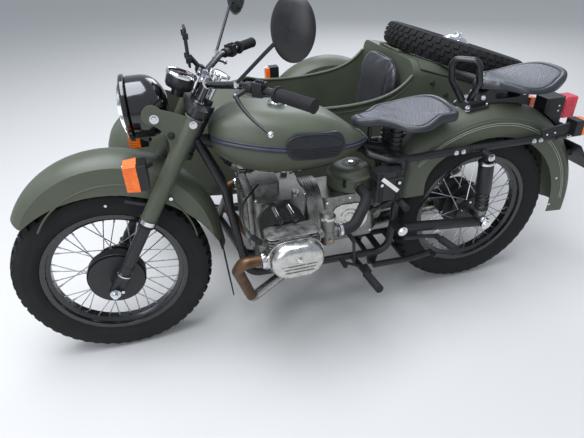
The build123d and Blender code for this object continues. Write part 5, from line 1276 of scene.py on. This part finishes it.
low, high = (Vector(corner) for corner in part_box("seat_back"))
heart = (low + high) / 2
mesh = bmesh.new()
# Share of the depth from the front face to the bulkhead, and how far the outline is drawn in there
skin(mesh, [[at(SIDECAR_X + across, back_front(up) + (BULKHEAD_Y - back_front(up)) * share, BACK_FOOT_Z + up)
             for across, up in arched(inset)]
            for share, inset in ((0.10, 34), (0.16, 16), (0.34, 8), (0.70, 8), (0.90, 12))])
back = blown(mesh, low + Vector((0.001, 0.001, 0.001)), high - Vector((0.001, 0.0008, 0.001)))
back_surface = BVHTree.FromBMesh(back)
for vertex in back.verts:
    across = abs(vertex.co.x - heart.x) * 1000
    if vertex.co.y < high.y - 0.03:
        vertex.co.y += 0.006 * math.exp(-((across - 142) / 8) ** 2)
pad = piece("sidecar_seat_back", back, [seat_cloth], "machine", ["seat_back"], crease=180,
            subdivide=1)
mesh = bmesh.new()
piping = []
for across, up in arched(4)[2:-1]:
    y = back_front(up) + 22
    spot = at(SIDECAR_X + across, y, BACK_FOOT_Z + up)
    inward = at(SIDECAR_X, y, 700) - spot
    inward.y = 0
    inward.normalize()
    piping += landed(back_surface, [spot - inward * 0.06], inward, 0.2)
sweep(mesh, piping, 3.2, sides=8)
piece("seat_back_piping", mesh, [seat_cloth], "machine")

# Boot lid: a steel pressing in the olive, on which the spare wheel is clamped by a stud under a chromed cap with a
# wing nut.
finish("spare_clamp", bolt_chrome)
cap = facing(middle("spare_tyre") + spare_up * 0.064, spare_up, (1, 0, 0))
mesh = bmesh.new()
turn(mesh, [(48, 0), (40, 5), (22, 9), (12, 10), (10, 18), (0.05, 19)], cap, steps=48)
for low_x, high_x in ((-30, -7), (7, 30)):
    block(mesh, (low_x, -3, 8), (high_x, 3, 24), cap)
piece("spare_wing_nut", mesh, [bolt_chrome], "boot_lid", bevel=2.0)

# Sidecar mudguard: the same deep pressing with a swaged bead and lining, bolted to two steel stays. Its marker lamp
# is a black plastic body with an orange and a clear lens.
WHEEL_X = (middle("sidecar_tyre") - datum).x * 1000
SIDECAR_ARCH = (466, 365)
clear_lens = new_material("clear_moulded_lens", "#E9ECEC", 0.1, (30, ("#DFE3E3", "#F0F2F2"), (0.08, 0.16)),
                          Transmission_Weight=0.35, Coat_Weight=0.4)
finish("sidecar_fender", olive_enamel)
mesh = bmesh.new()
for side in (1, -1):
    for radius, thick, slot, x in ((352, 3.2, 0, 84.6), (340, 1.0, 1, 85.2)):
        sweep(mesh, arch_run(WHEEL_X + side * x, SIDECAR_ARCH, radius, range(2, 168, 3)), thick, sides=8, slot=slot)
for y in (250, 682):
    for z in (652, 668):
        stub(mesh, at(WHEEL_X + 85, y, z), Vector((1, 0, 0)), 0, 6, 6, slot=2)
piece("sidecar_fender_bead_and_lining", mesh, [olive_enamel, line_paint, bolt_chrome], "machine")
lamp = facing(at(WHEEL_X, 128, 708), (0, -1, 0), (0, 0, 1))
mesh = bmesh.new()
block(mesh, (-40, -29, -52), (40, 29, 0), lamp, slot=0, draft=1)
block(mesh, (-37, -27, 0), (37, -1, 26), lamp, slot=1, draft=3)
block(mesh, (-37, 0, 0), (37, 27, 26), lamp, slot=2, draft=3)
for up in (-33, 33):
    stub(mesh, within(lamp, up, 0, 22), Vector((0, -1, 0)), 0, 6, 3.5, sides=12, slot=3)
piece("sidecar_marker_lamp", mesh, [moulded_black, amber_lens, clear_lens, bolt_chrome], "machine",
      ["sidecar_lamp"], bevel=2.5)

# Studio: a plain pale painted floor under an even sky, lit by three soft lamps of a slightly cool white: a key, a
# fill and one from behind.
floor_data = bpy.data.meshes.new("studio_floor")
floor_data.from_pydata([(-30, -30, 0), (30, -30, 0), (30, 30, 0), (-30, 30, 0)], [], [(0, 1, 2, 3)])
floor = bpy.data.objects.new("studio_floor", floor_data)
bpy.context.collection.objects.link(floor)
floor_data.materials.append(new_material("studio_floor_paint", "#C9C8C4", 0.85))
floor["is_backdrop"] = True
world = bpy.data.worlds.new("studio")
world.use_nodes = True
tree = world.node_tree
background = tree.nodes["Background"]
background.inputs["Color"].default_value = linear("#DCE5F2")
background.inputs["Strength"].default_value = 0.62
seen = add_node(tree, "Background", inputs={"Color": linear("#F4F4F2"), "Strength": 1.0})
ray = add_node(tree, "LightPath")
mixed = add_node(tree, "MixShader", inputs={"Fac": ray.outputs["Is Camera Ray"]})
tree.links.new(background.outputs["Background"], mixed.inputs[1])
tree.links.new(seen.outputs["Background"], mixed.inputs[2])
tree.links.new(mixed.outputs["Shader"], tree.nodes["World Output"].inputs["Surface"])
bpy.context.scene.world = world
for name, spot, size, power in (("key", (0.6, -1.2, 4.6), 3.6, 300), ("fill", (4.2, -3.4, 2.6), 3.0, 80),
                                ("rim", (-4.0, 2.4, 3.6), 3.0, 110)):
    light = bpy.data.lights.new(name, "AREA")
    light.energy, light.size, light.color = power, size, linear("#F3F6FF")[:3]
    lamp = bpy.data.objects.new(name, light)
    lamp.location = spot
    lamp.rotation_euler = (Vector((0, 0, 0.6)) - Vector(spot)).to_track_quat("-Z", "Y").to_euler()
    bpy.context.collection.objects.link(lamp)

# Camera: the photograph's own place and lens, worked out from the sizes of the wheels and where they stand in the
# picture.
PHOTO_WIDTH, FOCAL_PX = 584, 460.68
CAMERA_AT = (1492.1, -430.8, 1410.1)
LOOK, RIGHT = Vector((-0.82015, 0.20666, -0.53352)), Vector((0.26306, 0.96429, -0.03087))
camera_data = bpy.data.cameras.new("photo_camera")
camera_data.sensor_width = 36.0
camera_data.lens = 36.0 * FOCAL_PX / PHOTO_WIDTH
camera = bpy.data.objects.new("photo_camera", camera_data)
up = RIGHT.cross(LOOK)
camera.matrix_world = Matrix.Translation(at(*CAMERA_AT)) @ Matrix((RIGHT, up, -LOOK)).transposed().to_4x4()
bpy.context.collection.objects.link(camera)
bpy.context.scene.camera = camera
bpy.context.scene.view_settings.view_transform = "Standard"

low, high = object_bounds()
